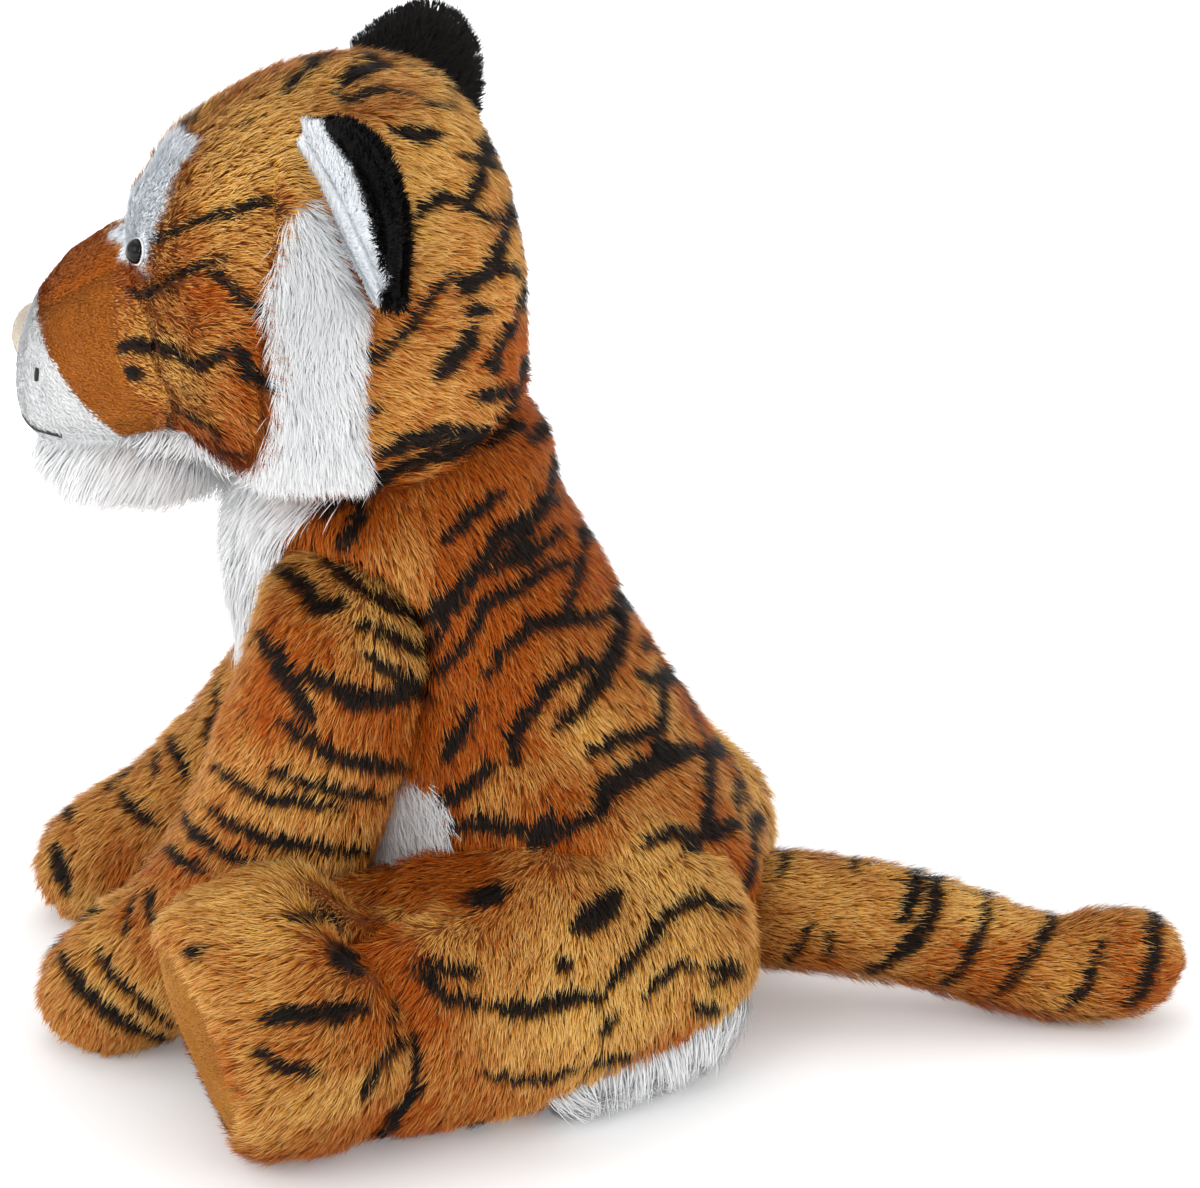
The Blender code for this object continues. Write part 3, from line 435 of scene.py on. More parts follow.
def scaled(tree, vector, by):
    node = addNode(tree, "ShaderNodeVectorMath", operation="SCALE")
    tree.links.new(vector, node.inputs[0])
    if isinstance(by, bpy.types.NodeSocket):
        tree.links.new(by, node.inputs["Scale"])
    else:
        node.inputs["Scale"].default_value = by
    return node.outputs[0]


def meshObject(name, mesh):
    item = bpy.data.objects.new(name, mesh)
    bpy.context.scene.collection.objects.link(item)
    return item


# The item with its modifiers applied, as a plain mesh
def baked(item, name):
    graph = bpy.context.evaluated_depsgraph_get()
    mesh = bpy.data.meshes.new_from_object(item.evaluated_get(graph))
    mesh.name = name
    bpy.data.objects.remove(item, do_unlink=True)
    return meshObject(name, mesh)


def meshFrom(work, name):
    mesh = bpy.data.meshes.new(name)
    work.to_mesh(mesh)
    work.free()
    return mesh


# The mesh as a skin of even cells, with its facets smoothed away
def softened(mesh, name, cell, rounds):
    item = meshObject(mesh.name, mesh)
    remesh = item.modifiers.new("remesh", "REMESH")
    remesh.mode, remesh.voxel_size = "VOXEL", cell
    smooth = item.modifiers.new("smooth", "SMOOTH")
    smooth.factor, smooth.iterations = 0.5, rounds
    item = baked(item, name)
    item.data.shade_smooth()
    return item


def places(mesh):
    co = np.empty(len(mesh.vertices) * 3, np.float32)
    mesh.vertices.foreach_get("co", co)
    return co.reshape(-1, 3)


def normals(mesh):
    no = np.empty(len(mesh.vertices) * 3, np.float32)
    mesh.vertex_normals.foreach_get("vector", no)
    return no.reshape(-1, 3)


def movePlaces(mesh, co):
    mesh.vertices.foreach_set("co", co.astype(np.float32).ravel())
    mesh.update()


def setValues(mesh, name, values, kind="FLOAT"):
    layer = mesh.attributes.get(name) or mesh.attributes.new(name, kind, "POINT")
    key = "vector" if kind == "FLOAT_VECTOR" else "value"
    layer.data.foreach_set(key, np.asarray(values, np.float32).ravel())


def treeOf(meshes):
    work = bmesh.new()
    for mesh in meshes:
        work.from_mesh(mesh)
    tree = BVHTree.FromBMesh(work)
    work.free()
    return tree


def pointTree(points):
    tree = KDTree(len(points))
    for i, p in enumerate(points):
        tree.insert(p, i)
    tree.balance()
    return tree


def nodesOf(facts):
    return [node for area in facts["areas"].values() for node in area]


# One closed skin round a stuffed part, from copies of its solids
def makeSkin(name, facts):
    work = bmesh.new()
    for node in (*nodesOf(facts), *facts["inside"]):
        work.from_mesh(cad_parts[node].data)
    bmesh.ops.remove_doubles(work, verts=work.verts, dist=weld)
    item = softened(meshFrom(work, name), name + "_cloth", facts["cell"], facts["rounds"])
    keepLargest(item.data)
    return item


def keepLargest(mesh):
    work = bmesh.new()
    work.from_mesh(mesh)
    left = set(work.verts)
    groups = []
    while left:
        group, edge = set(), [left.pop()]
        while edge:
            v = edge.pop()
            group.add(v)
            for e in v.link_edges:
                other = e.other_vert(v)
                if other in left:
                    left.discard(other)
                    edge.append(other)
        groups.append(group)
    groups.sort(key=len)
    for group in groups[:-1]:
        bmesh.ops.delete(work, geom=list(group), context="VERTS")
    work.to_mesh(mesh)
    work.free()


# How far each vertex is from the nearest of some CAD nodes
def distances(co, nodes):
    tree = treeOf([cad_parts[node].data for node in nodes])
    return np.array([tree.find_nearest(Vector(p))[3] for p in co])


# How much of each vertex belongs to each cloth of the skin
def areaShares(co, facts, soft=0.0012):
    away = {name: distances(co, nodes) for name, nodes in facts["areas"].items()}
    shares = {}
    for name, own in away.items():
        others = [far for other, far in away.items() if other != name]
        shares[name] = np.ones(len(co))
        if others:
            shares[name] = np.clip(0.5 - (own - np.min(others, axis=0)) / soft, 0, 1)
    return shares, away


def tangent(vectors, normal):
    flat = vectors - normal * (vectors * normal).sum(1, keepdims=True)
    return flat / np.maximum(np.linalg.norm(flat, axis=1, keepdims=True), 1e-6)


# How much room each vertex has for its pile, up to the neighbours
def roomAbove(item, others, most=0.016, dip=0.001):
    tree = treeOf([o.data for o in others])
    room = np.full(len(item.data.vertices), most)
    for i, (p, n) in enumerate(zip(places(item.data), normals(item.data))):
        start, way = Vector(p) - Vector(n) * dip, Vector(n)
        hit = tree.ray_cast(start, way, most)
        if hit[0] is not None:
            room[i] = max(hit[3] - dip, 0)

        # A neighbour's skin met from its inside means that this place is buried in it
        deep = tree.ray_cast(start, way)
        if deep[0] is not None and deep[1].dot(way) > 0:
            room[i] = 0
    return room


# Places along a line through some points, a step apart, with how far along each is
def alongLine(points, step):
    lengths = [math.dist(a, b) for a, b in zip(points, points[1:])]
    total, gone, out = sum(lengths), 0, []
    for (a, b), length in zip(zip(points, points[1:]), lengths):
        count = max(1, round(length / step))
        for k in range(count):
            t = k / count
            out.append(([p + (q - p) * t for p, q in zip(a, b)], (gone + length * t) / total))
        gone += length
    return out + [(points[-1], 1.0)]


# The skin that a ray meets first, where and how far off
def firstHit(start, way, only=None):
    best = None
    for name, tree in skinTrees.items():
        if only and name not in only:
            continue
        place, _, _, far = tree.ray_cast(start, way)
        if place is not None and (best is None or far < best[2]):
            best = (name, place, far)
    return best


# The photograph's pixels at which some places appear
def pixelsOf(co):
    turn = np.array(cameraTurn().to_matrix())
    seen = (co - np.array(cameraPlace())) @ turn
    scale = photo["wide"] * shot["lens"] / shot["sensor"]
    across = photo["wide"] / 2 + seen[:, 0] / -seen[:, 2] * scale
    return np.column_stack((across, photo["high"] / 2 - seen[:, 1] / -seen[:, 2] * scale))


# The same places on the tiger's left side
def leftward(co):
    return np.column_stack((abs(co[:, 0]), co[:, 1], co[:, 2]))


def inOutline(spots, outline):
    inside = np.zeros(len(spots), bool)
    for (x0, y0), (x1, y1) in zip(outline, outline[1:] + outline[:1]):
        level = (spots[:, 1] < y0) != (spots[:, 1] < y1)
        with np.errstate(divide="ignore", invalid="ignore"):
            edge = x0 + (spots[:, 1] - y0) * (x1 - x0) / (y1 - y0)
        inside ^= level & (spots[:, 0] < edge)
    return inside


# The places that appear inside an outline in the photograph, and their matches on the right side
def shownIn(co, outline):
    return inOutline(pixelsOf(leftward(co)), outline)


# Each skin's match on the other side
twinOf = {name: name for name in skins}
for part in ("arm", "leg", "ear"):
    twinOf[part + "_left"], twinOf[part + "_right"] = part + "_right", part + "_left"


# Moves a skin's vertices near some places, and those of its twin alike
def bend(name, points, way, depth, reach):
    for target, sign in ((name, 1), (twinOf[name], -1)):
        mesh = cloth[target].data
        co = places(mesh).astype(float)
        most = np.zeros(len(co))
        for point in points:
            place = np.array(point) * (sign, 1, 1)
            most = np.maximum(most, np.exp(-((co - place) ** 2).sum(1) / reach**2))
        if way is None:
            step = -normals(mesh)
        else:
            step = np.array(way, float) * (sign, 1, 1) / np.linalg.norm(way)
        co += step * (depth * most)[:, None]
        movePlaces(mesh, co)


def shapeSkins():
    for name, depth, reach, way, line in folds:
        spots = alongLine(list(zip(line[::2], line[1::2])), pixelStep["fold"])
        hits = [firstHit(*pixelRay(*spot), only=(name,)) for spot, _ in spots]
        bend(name, [hit[1] for hit in hits if hit], way, depth, reach)
    for name, x, y, way, depth, reach in swells:
        hit = firstHit(*pixelRay(x, y), only=(name,))
        if hit is None:
            continue

        # By the middle of a skin its two sides' swells add up
        if twinOf[name] == name and abs(hit[1].x) < reach:
            depth = depth / 2
        bend(name, [hit[1]], way, depth, reach)
    for height in chestHeights:
        hit = firstHit(Vector((0, -1, height)), Vector((0, 1, 0)), only=("body",))
        bend("body", [hit[1]], (0, -1, 0), chestSwell["out"] / 4, chestSwell["wide"])


# Lays every stripe on the skins: for each skin a list of places with their half widths and groups
def layStripes():
    pixel = shot["sensor"] / shot["lens"] / photo["wide"] * shot["away"]
    laid = {name: [] for name in cloth}
    for area, strokes in stripes.items():
        for stroke in strokes:
            points = list(zip(stroke[1::2], stroke[2::2]))
            for (x, y), share in alongLine(points, pixelStep["stripe"]):
                hit = firstHit(*pixelRay(x, y), only=stripeSkins.get(area))
                if hit is None:
                    continue
                thin = 0.5 + 0.5 * math.sin(math.pi * share) ** 0.5
                half = (stroke[0] / 2 + stripeSpread[area]) * pixel * thin
                laid[hit[0]].append((hit[1], half, area))
    for height, reach, drop, half in backStripes:
        arch = [(-reach, height - drop), (0, height), (reach, height - drop)]
        for (x, z), share in alongLine(arch, 0.0012):
            hit = firstHit(Vector((x, 1, z)), Vector((0, -1, 0)), only=("head", "body"))
            if hit:
                thin = 0.35 + 0.65 * math.sin(math.pi * share) ** 0.5
                laid[hit[0]].append((hit[1], half * thin, "back"))
    return laid


# The other side has the same stripes, set on its own surface
def mirrorStripes(laid):
    both = {name: list(samples) for name, samples in laid.items()}
    for name, samples in laid.items():
        twin = twinOf[name]
        for place, half, area in samples:
            if area == "back" or (twin == name and place.x < 0):
                continue
            if name == "arm_right" and area != "farArm":
                continue
            other, _, _, far = skinTrees[twin].find_nearest(Vector((-place.x, place.y, place.z)))
            if other is not None and far < 0.03:
                both[twin].append((other, half, area))
    return both


# How far inside a stripe each vertex is, in stripe edges: over 0 is dark
def stripeField(item, samples, nap):
    co = places(item.data)
    if not samples:
        return np.full(len(co), -1.5)
    ground = pointTree(co)
    tree = pointTree([place - Vector(nap[ground.find(place)[1]]) * stripeLean for place, _, _ in samples])
    halves = [half for _, half, _ in samples]
    field = np.full(len(co), -1.5)
    for i, p in enumerate(co):
        near = tree.find_n(p, 6)
        rag = 0.0009 * noise.noise(Vector(p) * 210) + 0.0006 * noise.noise(Vector(p) * 480)
        field[i] = max(halves[k] - far for _, k, far in near) + rag
    return np.clip(field / stripeEdge, -1.5, 1.5)


# A flat tapering strand one unit long and wide, its bend towards -X
def makeStrand(name, steps, bend):
    work = bmesh.new()
    uv = work.loops.layers.uv.new("OFBake")
    rows = [[work.verts.new((0, 0, 0))]]
    for k in range(1, steps + 1):
        t = k / (steps + 1)
        half = 0.5 * math.sin(math.pi * (0.28 + 0.62 * t))
        shift = bend * (t - 1.9 * t * t)
        rows.append([work.verts.new((shift, -half, t)), work.verts.new((shift, half, t))])
    rows.append([work.verts.new((bend * -0.9, 0, 1))])
    for low, high in zip(rows, rows[1:]):
        if len(low) == 1:
            face = work.faces.new((low[0], high[1], high[0]))
        elif len(high) == 1:
            face = work.faces.new((low[0], low[1], high[0]))
        else:
            face = work.faces.new((low[0], low[1], high[1], high[0]))
        for loop in face.loops:
            loop[uv].uv = (loop.vert.co.y * 0.0012, loop.vert.co.z)
    bmesh.ops.triangulate(work, faces=work.faces)
    work.normal_update()
    work.faces.ensure_lookup_table()
    if work.faces[0].normal.x < 0:
        bmesh.ops.reverse_faces(work, faces=work.faces)
    mesh = meshFrom(work, name)
    mesh.shade_smooth()
    item = meshObject(name, mesh)
    item.hide_render = True
    return item


paletteColumns = 8


def furTree():
    tree = bpy.data.node_groups.new("fur", "GeometryNodeTree")
    tree.interface.new_socket("Geometry", in_out="OUTPUT", socket_type="NodeSocketGeometry")
    tree.interface.new_socket("Geometry", in_out="INPUT", socket_type="NodeSocketGeometry")
    for label, kind in (
        ("Strand", "NodeSocketObject"), ("Material", "NodeSocketMaterial"), ("Density", "NodeSocketFloat"),
        ("Length", "NodeSocketFloat"), ("Width", "NodeSocketFloat"), ("Lift", "NodeSocketFloat"),
        ("Clump", "NodeSocketFloat"), ("Clump Size", "NodeSocketFloat"), ("Stray", "NodeSocketFloat"),
        ("Seed", "NodeSocketInt"),
    ):
        tree.interface.new_socket(label, in_out="INPUT", socket_type=kind)
    inlets = addNode(tree, "NodeGroupInput").outputs

    def attribute(name, kind="FLOAT"):
        node = addNode(tree, "GeometryNodeInputNamedAttribute", data_type=kind)
        feed(tree, node, Name=name)
        return socket(node.outputs, "Attribute")

    def chance(low, high, seed, kind="FLOAT"):
        node = addNode(tree, "FunctionNodeRandomValue", data_type=kind)
        feed(tree, node, Min=low, Max=high, Seed=maths(tree, "ADD", inlets["Seed"], seed))
        return socket(node.outputs, "Value")

    spread = addNode(tree, "GeometryNodeDistributePointsOnFaces", distribute_method="RANDOM")
    density = maths(tree, "MULTIPLY", inlets["Density"], attribute("coverage"))
    feed(tree, spread, Mesh=inlets["Geometry"], Density=density, Seed=inlets["Seed"])
    normal = spread.outputs["Normal"]
    place = addNode(tree, "GeometryNodeInputPosition").outputs[0]

    # Strands lean along the nap, draw together in tufts and stray a little
    cells = addNode(tree, "ShaderNodeTexVoronoi", feature="F1")
    feed(tree, cells, Vector=place, Scale=maths(tree, "DIVIDE", 1.0, inlets["Clump Size"]))
    toTuft = maths(tree, "SUBTRACT", cells.outputs["Position"], place, vector=True)
    pull = maths(tree, "DIVIDE", inlets["Clump"], inlets["Length"])
    waves = addNode(tree, "ShaderNodeTexNoise")
    feed(tree, waves, Vector=place, Scale=38.0, Detail=2.0)
    wave = maths(tree, "SUBTRACT", waves.outputs["Color"], (0.5, 0.5, 0.5), vector=True)
    lift = maths(tree, "MULTIPLY", inlets["Lift"], attribute("lift"))
    way = maths(tree, "ADD", scaled(tree, normal, lift), attribute("nap", "FLOAT_VECTOR"), vector=True)
    way = maths(tree, "ADD", way, scaled(tree, toTuft, pull), vector=True)
    way = maths(tree, "ADD", way, scaled(tree, wave, 1.1), vector=True)
    stray = chance((-1, -1, -1), (1, 1, 1), 3, "FLOAT_VECTOR")
    way = maths(tree, "ADD", way, scaled(tree, stray, inlets["Stray"]), vector=True)

    along = addNode(tree, "FunctionNodeAlignRotationToVector", axis="Z")
    feed(tree, along, Vector=way)
    flat = addNode(tree, "FunctionNodeAlignRotationToVector", axis="X", pivot_axis="Z")
    outward = maths(tree, "ADD", normal, scaled(tree, stray, 0.35), vector=True)
    feed(tree, flat, Rotation=along.outputs[0], Vector=outward)
    length = maths(tree, "MULTIPLY", inlets["Length"], chance(0.72, 1.12, 5))
    length = maths(tree, "MULTIPLY", length, attribute("pile"))
    size = addNode(tree, "ShaderNodeCombineXYZ")
    feed(tree, size, X=length, Y=inlets["Width"], Z=length)
    info = addNode(tree, "GeometryNodeObjectInfo")
    feed(tree, info, Object=inlets["Strand"])
    plant = addNode(tree, "GeometryNodeInstanceOnPoints")
    feed(
        tree, plant, Points=spread.outputs["Points"], Instance=info.outputs["Geometry"],
        Rotation=flat.outputs[0], Scale=size.outputs[0],
    )

    # Where on the palette each strand takes its colour: a column for its tone, which carries painted light
    # and shade as well as random tone, and its stripe across that
    tone = maths(tree, "ADD", attribute("tone"), chance(-0.28, 0.28, 7))
    column = maths(tree, "FLOOR", maths(tree, "MULTIPLY", tone, float(paletteColumns)))
    column = maths(tree, "MINIMUM", maths(tree, "MAXIMUM", column, 0.0), paletteColumns - 1.0)
    edge = maths(tree, "ADD", attribute("stripe"), chance(-0.5, 0.5, 9))
    dark = addNode(tree, "ShaderNodeClamp")
    feed(tree, dark, Value=maths(tree, "ADD", maths(tree, "MULTIPLY", edge, 1.6), 0.5))
    inColumn = maths(tree, "ADD", maths(tree, "MULTIPLY", dark.outputs[0], 0.8), 0.1)
    across = maths(tree, "DIVIDE", maths(tree, "ADD", column, inColumn), float(paletteColumns))
    store = addNode(tree, "GeometryNodeStoreNamedAttribute", data_type="FLOAT", domain="INSTANCE")
    feed(tree, store, Geometry=plant.outputs[0], Name="across", Value=across)
    real = addNode(tree, "GeometryNodeRealizeInstances")
    feed(tree, real, Geometry=store.outputs[0])

    parts = addNode(tree, "ShaderNodeSeparateXYZ")
    tree.links.new(attribute("OFBake", "FLOAT_VECTOR"), parts.inputs[0])
    spot = addNode(tree, "ShaderNodeCombineXYZ")
    feed(tree, spot, X=maths(tree, "ADD", parts.outputs[0], attribute("across")), Y=parts.outputs[1])
    palette = addNode(tree, "GeometryNodeStoreNamedAttribute", data_type="FLOAT2", domain="CORNER")
    feed(tree, palette, Geometry=real.outputs[0], Name="OFBake", Value=spot.outputs[0])

    # Nothing goes through the floor
    where = addNode(tree, "ShaderNodeSeparateXYZ")
    tree.links.new(place, where.inputs[0])
    held = addNode(tree, "ShaderNodeCombineXYZ")
    height = maths(tree, "MAXIMUM", where.outputs[2], floorGap)
    feed(tree, held, X=where.outputs[0], Y=where.outputs[1], Z=height)
    lay = addNode(tree, "GeometryNodeSetPosition")
    feed(tree, lay, Geometry=palette.outputs[0], Position=held.outputs[0])
    paint = addNode(tree, "GeometryNodeSetMaterial")
    feed(tree, paint, Geometry=lay.outputs[0], Material=inlets["Material"])
    out = addNode(tree, "NodeGroupOutput")
    tree.links.new(paint.outputs[0], out.inputs[0])
    return tree


# Plants a pile on the part of a skin that coverage marks, as a plain mesh
def growFur(name, skin, kind, material, coverage, seed, **values):
    facts = piles[kind]
    thin = 1.0
    count = len(skin.data.vertices)
    layers = {"lift": 1.0, "pile": 1.0, "tone": 0.5, "stripe": -1.5, **values}
    for key, value in layers.items():
        if key == "nap":
            setValues(skin.data, key, value, "FLOAT_VECTOR")
        else:
            setValues(skin.data, key, np.broadcast_to(value, count))
    setValues(skin.data, "coverage", coverage)
    carrier = meshObject(name, skin.data)
    grow = carrier.modifiers.new("fur", "NODES")
    grow.node_group = furNodes
    inputs = {
        "Strand": strands[facts["strand"]], "Material": material, "Density": facts["thick"] * 1e6 * thin,
        "Length": facts["length"], "Width": facts["width"] / thin**0.7, "Lift": facts["lift"],
        "Clump": facts["clump"], "Clump Size": facts["cell"], "Stray": facts["stray"], "Seed": seed,
    }
    for item in furNodes.interface.items_tree:
        if item.in_out == "INPUT" and item.name in inputs:
            grow[item.identifier] = inputs[item.name]
    fur = baked(carrier, name)
    for extra in ("coverage", "nap", "lift", "pile", "tone", "stripe", "across"):
        if extra in fur.data.attributes:
            fur.data.attributes.remove(fur.data.attributes[extra])
    print(name, len(fur.data.polygons), "faces")
    return fur


def ramp(tree, stops, factor):
    node = addNode(tree, "ShaderNodeValToRGB")
    line = node.color_ramp
    while len(line.elements) > 1:
        line.elements.remove(line.elements[-1])
    line.elements[0].position, line.elements[0].color = stops[0][0], (*stops[0][1], 1)
    for place, colour in stops[1:]:
        line.elements.new(place).color = (*colour, 1)
    tree.links.new(factor, node.inputs[0])
    return node.outputs[0]


def mixed(tree, factor, first, second, blend="MIX"):
    node = addNode(tree, "ShaderNodeMix", data_type="RGBA", blend_type=blend)
    for value, target in ((factor, node.inputs[0]), (first, node.inputs[6]), (second, node.inputs[7])):
        if isinstance(value, bpy.types.NodeSocket):
            tree.links.new(value, target)
        else:
            target.default_value = value if isinstance(value, float) else (*value, 1)
    return node.outputs[2]


# A texture laid by the object's own coordinates
def texture(tree, kind, **values):
    at = addNode(tree, "ShaderNodeTexCoord")
    grain = addNode(tree, kind)
    feed(tree, grain, Vector=at.outputs["Object"], **values)
    return grain.outputs[0]


def emboss(tree, shader, height, strength, deep):
    bump = addNode(tree, "ShaderNodeBump")
    feed(tree, bump, Strength=strength, Distance=deep, Height=height)
    tree.links.new(bump.outputs[0], shader.inputs["Normal"])


# Strands darken to the root, partly the fibres' own deeper colour and partly painted shade down in the pile;
# dull and bright are the ramps of the dullest and brightest strands, and the tone that picks between them
# carries painted light and shade
def furMaterial(name, dull, bright, stripe=None):
    made, shader = newMaterial(name, bright[-1][1], 0.55)
    tree = made.node_tree
    at = addNode(tree, "ShaderNodeUVMap", uv_map="OFBake")
    parts = addNode(tree, "ShaderNodeSeparateXYZ")
    tree.links.new(at.outputs[0], parts.inputs[0])
    wide = maths(tree, "MULTIPLY", parts.outputs[0], float(paletteColumns))
    column = maths(tree, "FLOOR", wide)
    tone = maths(tree, "DIVIDE", column, paletteColumns - 1.0)
    dark = maths(tree, "DIVIDE", maths(tree, "SUBTRACT", maths(tree, "FRACT", wide), 0.1), 0.8)
    colour = mixed(tree, tone, ramp(tree, dull, parts.outputs[1]), ramp(tree, bright, parts.outputs[1]))
    if stripe:
        colour = mixed(tree, dark, colour, ramp(tree, stripe, parts.outputs[1]))
    tree.links.new(colour, shader.inputs["Base Color"])
    shader.inputs["Specular IOR Level"].default_value = 0.1
    return made


# Woven ground under the pile, dyed by the colours written on its vertices
def clothMaterial(name):
    made, shader = newMaterial(name, (0.5, 0.5, 0.5), 0.9)
    tree = made.node_tree
    dye = addNode(tree, "ShaderNodeAttribute", attribute_name="dye")
    grain = texture(tree, "ShaderNodeTexNoise", Scale=900.0, Detail=3.0)
    shade = ramp(tree, ((0.3, (0.72, 0.72, 0.72)), (0.7, (1.0, 1.0, 1.0))), grain)
    tree.links.new(mixed(tree, 1.0, dye.outputs["Color"], shade, "MULTIPLY"), shader.inputs["Base Color"])
    emboss(tree, shader, grain, 0.35, 0.0004)
    return made


# Moulded eye: black all through, with a skin of varnish and faint dust
def eyeMaterial():
    made, shader = newMaterial("eye_black", tint(6, 6, 6), 0.06)
    shader.inputs["Specular IOR Level"].default_value = 0.22
    tree = made.node_tree
    dust = texture(tree, "ShaderNodeTexNoise", Scale=1400.0, Detail=4.0)
    rough = addNode(tree, "ShaderNodeMapRange")
    feed(tree, rough, Value=dust, From_Min=0.35, From_Max=0.75, To_Min=0.04, To_Max=0.13)
    tree.links.new(rough.outputs[0], shader.inputs["Roughness"])
    return made


# Plies run round the embroidery thread
def threadMaterial(name, colour):
    made, shader = newMaterial(name, colour, 0.7)
    tree = made.node_tree
    plies = texture(tree, "ShaderNodeTexWave", Scale=420.0, Distortion=2.0, Detail=2.0)
    plies.node.bands_direction = "DIAGONAL"
    shade = ramp(tree, ((0.2, tuple(c * 0.5 for c in colour)), (0.8, colour)), plies)
    tree.links.new(shade, shader.inputs["Base Color"])
    emboss(tree, shader, plies, 0.6, 0.0003)
    return made


# Plastic with the faint swirl of its moulding
def plasticMaterial(name, colour, roughness):
    made, shader = newMaterial(name, colour, roughness)
    tree = made.node_tree
    swirl = texture(tree, "ShaderNodeTexNoise", Scale=300.0, Detail=4.0, Distortion=1.5)
    shade = ramp(tree, ((0.35, tuple(c * 0.86 for c in colour)), (0.65, colour)), swirl)
    tree.links.new(shade, shader.inputs["Base Color"])
    return made


# A screen colour as the linear one that materials use
def tint(*levels):
    linear = []
    for level in levels:
        if level > 10:
            linear.append(((level / 255 + 0.055) / 1.055) ** 2.4)
        else:
            linear.append(level / 255 / 12.92)
    return tuple(linear)


# The colour of the ground under each cloth
def dyeCloth(item, shares, dyes, field):
    colour = np.zeros((len(item.data.vertices), 4), np.float32)
    colour[:, 3] = 1
    total = sum(shares.values())
    for area, share in shares.items():
        colour[:, :3] += (share / total)[:, None] * np.array(dyes[area])
    if "coat" in shares:
        dark = (np.clip(field / 2 + 0.5, 0, 1) * (shares["coat"] / total))[:, None]
        colour[:, :3] = colour[:, :3] * (1 - dark) + np.array(dyes["stripe"]) * dark
    layer = item.data.color_attributes.new("dye", "FLOAT_COLOR", "POINT")
    layer.data.foreach_set("color", colour.ravel())


# A node's own shape, swollen a little and with its facets smoothed
def softCopy(name, node, cell, rounds, swell):
    work = bmesh.new()
    work.from_mesh(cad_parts[node].data)
    bmesh.ops.remove_doubles(work, verts=work.verts, dist=weld)
    work.normal_update()
    for v in work.verts:
        v.co += v.normal * swell
    return softened(meshFrom(work, name), name, cell, rounds)


# Moves a thin piece out to its height above a skin, however the skin was smoothed
def seatOn(item, skin, height, reach=0.002):
    tree = treeOf([skin.data])
    co = places(item.data).astype(float)
    hits = [tree.find_nearest(Vector(p)) for p in co]
    outward = np.array([hit[1] for hit in hits])
    above = ((co - np.array([hit[0] for hit in hits])) * outward).sum(1)
    near = pointTree(co)
    local = np.array([np.mean([above[i] for _, i, _ in near.find_range(Vector(p), reach)]) for p in co])
    co += outward * (height - local)[:, None]
    movePlaces(item.data, co)


# An embroidered stitch, with its end where the photograph shows it on the muzzle
def makeStitch(node):
    stitch = softCopy(node + "_thread", node, 0.00035, 2, 0.0003)
    co = places(stitch.data).astype(float)
    end = firstHit(*pixelRay(*stitchEnds[node.split("_")[0]]), only=("head",))[1]
    if node == "mouth_stitch":
        across = co[:, 0] / abs(co[:, 0]).max()
        co[:, 0] = across * end.x
        tips = co[abs(across) > 0.9].mean(0)
        co[:, 2] += (end.z - tips[2]) * across**4
        co[:, 1] += (end.y - tips[1]) * across**2
    else:
        side = 1 if node.endswith("left") else -1
        co += np.array((end.x * side, end.y, end.z)) - co.mean(0)
    movePlaces(stitch.data, co)
    seatOn(stitch, cloth["head"], 0.0006)
    return stitch


# The way along the eye's shank and outward, the middle of the dome's base, its radius and its height
def eyeFacts(side):
    eye = places(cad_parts["eye_" + side].data).astype(float)
    washer = places(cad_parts["eye_washer_" + side].data).astype(float)
    axis = eye.mean(0) - washer.mean(0)
    axis /= np.linalg.norm(axis)
    out = eye @ axis
    offset = eye - eye.mean(0)
    radial = np.linalg.norm(offset - np.outer(offset @ axis, axis), axis=1)
    wide = radial.max()
    rim = out[radial > wide * 0.98].max()
    middle = eye.mean(0) + axis * (rim - eye.mean(0) @ axis)
    return Vector(axis), Vector(middle), float(wide), float(out.max() - rim)


def makeEye(side):
    axis, middle, wide, high = eyeFacts(side)
    wide *= eyeShare
    turn = Vector((0, 0, 1)).rotation_difference(axis).to_matrix().to_4x4()
    work = bmesh.new()
    bmesh.ops.create_uvsphere(work, u_segments=48, v_segments=24, radius=1)
    grown = Matrix.Translation(middle + axis * eyeLift) @ turn @ Matrix.Diagonal((wide, wide, high, 1))
    bmesh.ops.transform(work, matrix=grown, verts=work.verts)
    mesh = meshFrom(work, "eye_dome_" + side)
    mesh.shade_smooth()
    dome = meshObject("eye_dome_" + side, mesh)
    bpy.ops.mesh.primitive_torus_add(
        major_segments=64, minor_segments=12, major_radius=wide * 1.03, minor_radius=wide * 0.09
    )
    ring = bpy.context.object
    ring.name = "eye_ring_" + side
    ring.data.transform(Matrix.Translation(middle + axis * (eyeLift - wide * 0.1)) @ turn)
    ring.data.shade_smooth()
    return dome, ring


makeCamera()
makeStudio()
print("camera and studio are up")
cloth = {name: makeSkin(name, facts) for name, facts in skins.items()}
skinTrees = {name: treeOf([item.data]) for name, item in cloth.items()}
shapeSkins()
skinTrees = {name: treeOf([item.data]) for name, item in cloth.items()}
print("cloth:", {name: len(item.data.vertices) for name, item in cloth.items()})
stripeSkins = {
    "cheek": ("head",), "brow": ("head",), "crown": ("head",), "nape": ("head", "body"),
    "shoulder": ("body", "arm_left"), "flank": ("body",), "haunch": ("leg_left", "body"),
    "foot": ("leg_left",), "farArm": ("arm_right",), "paw": ("arm_left",), "tail": ("tail",),
}
laid = mirrorStripes(layStripes())
print("stripes:", {name: len(samples) for name, samples in laid.items()})

furNodes = furTree()
strands = {"short": makeStrand("strand_short", 1, 0.16), "long": makeStrand("strand_long", 3, 0.3)}
stripeRamp = ((0.0, tint(30, 20, 15)), (0.6, tint(20, 17, 15)), (1.0, tint(44, 34, 26)))
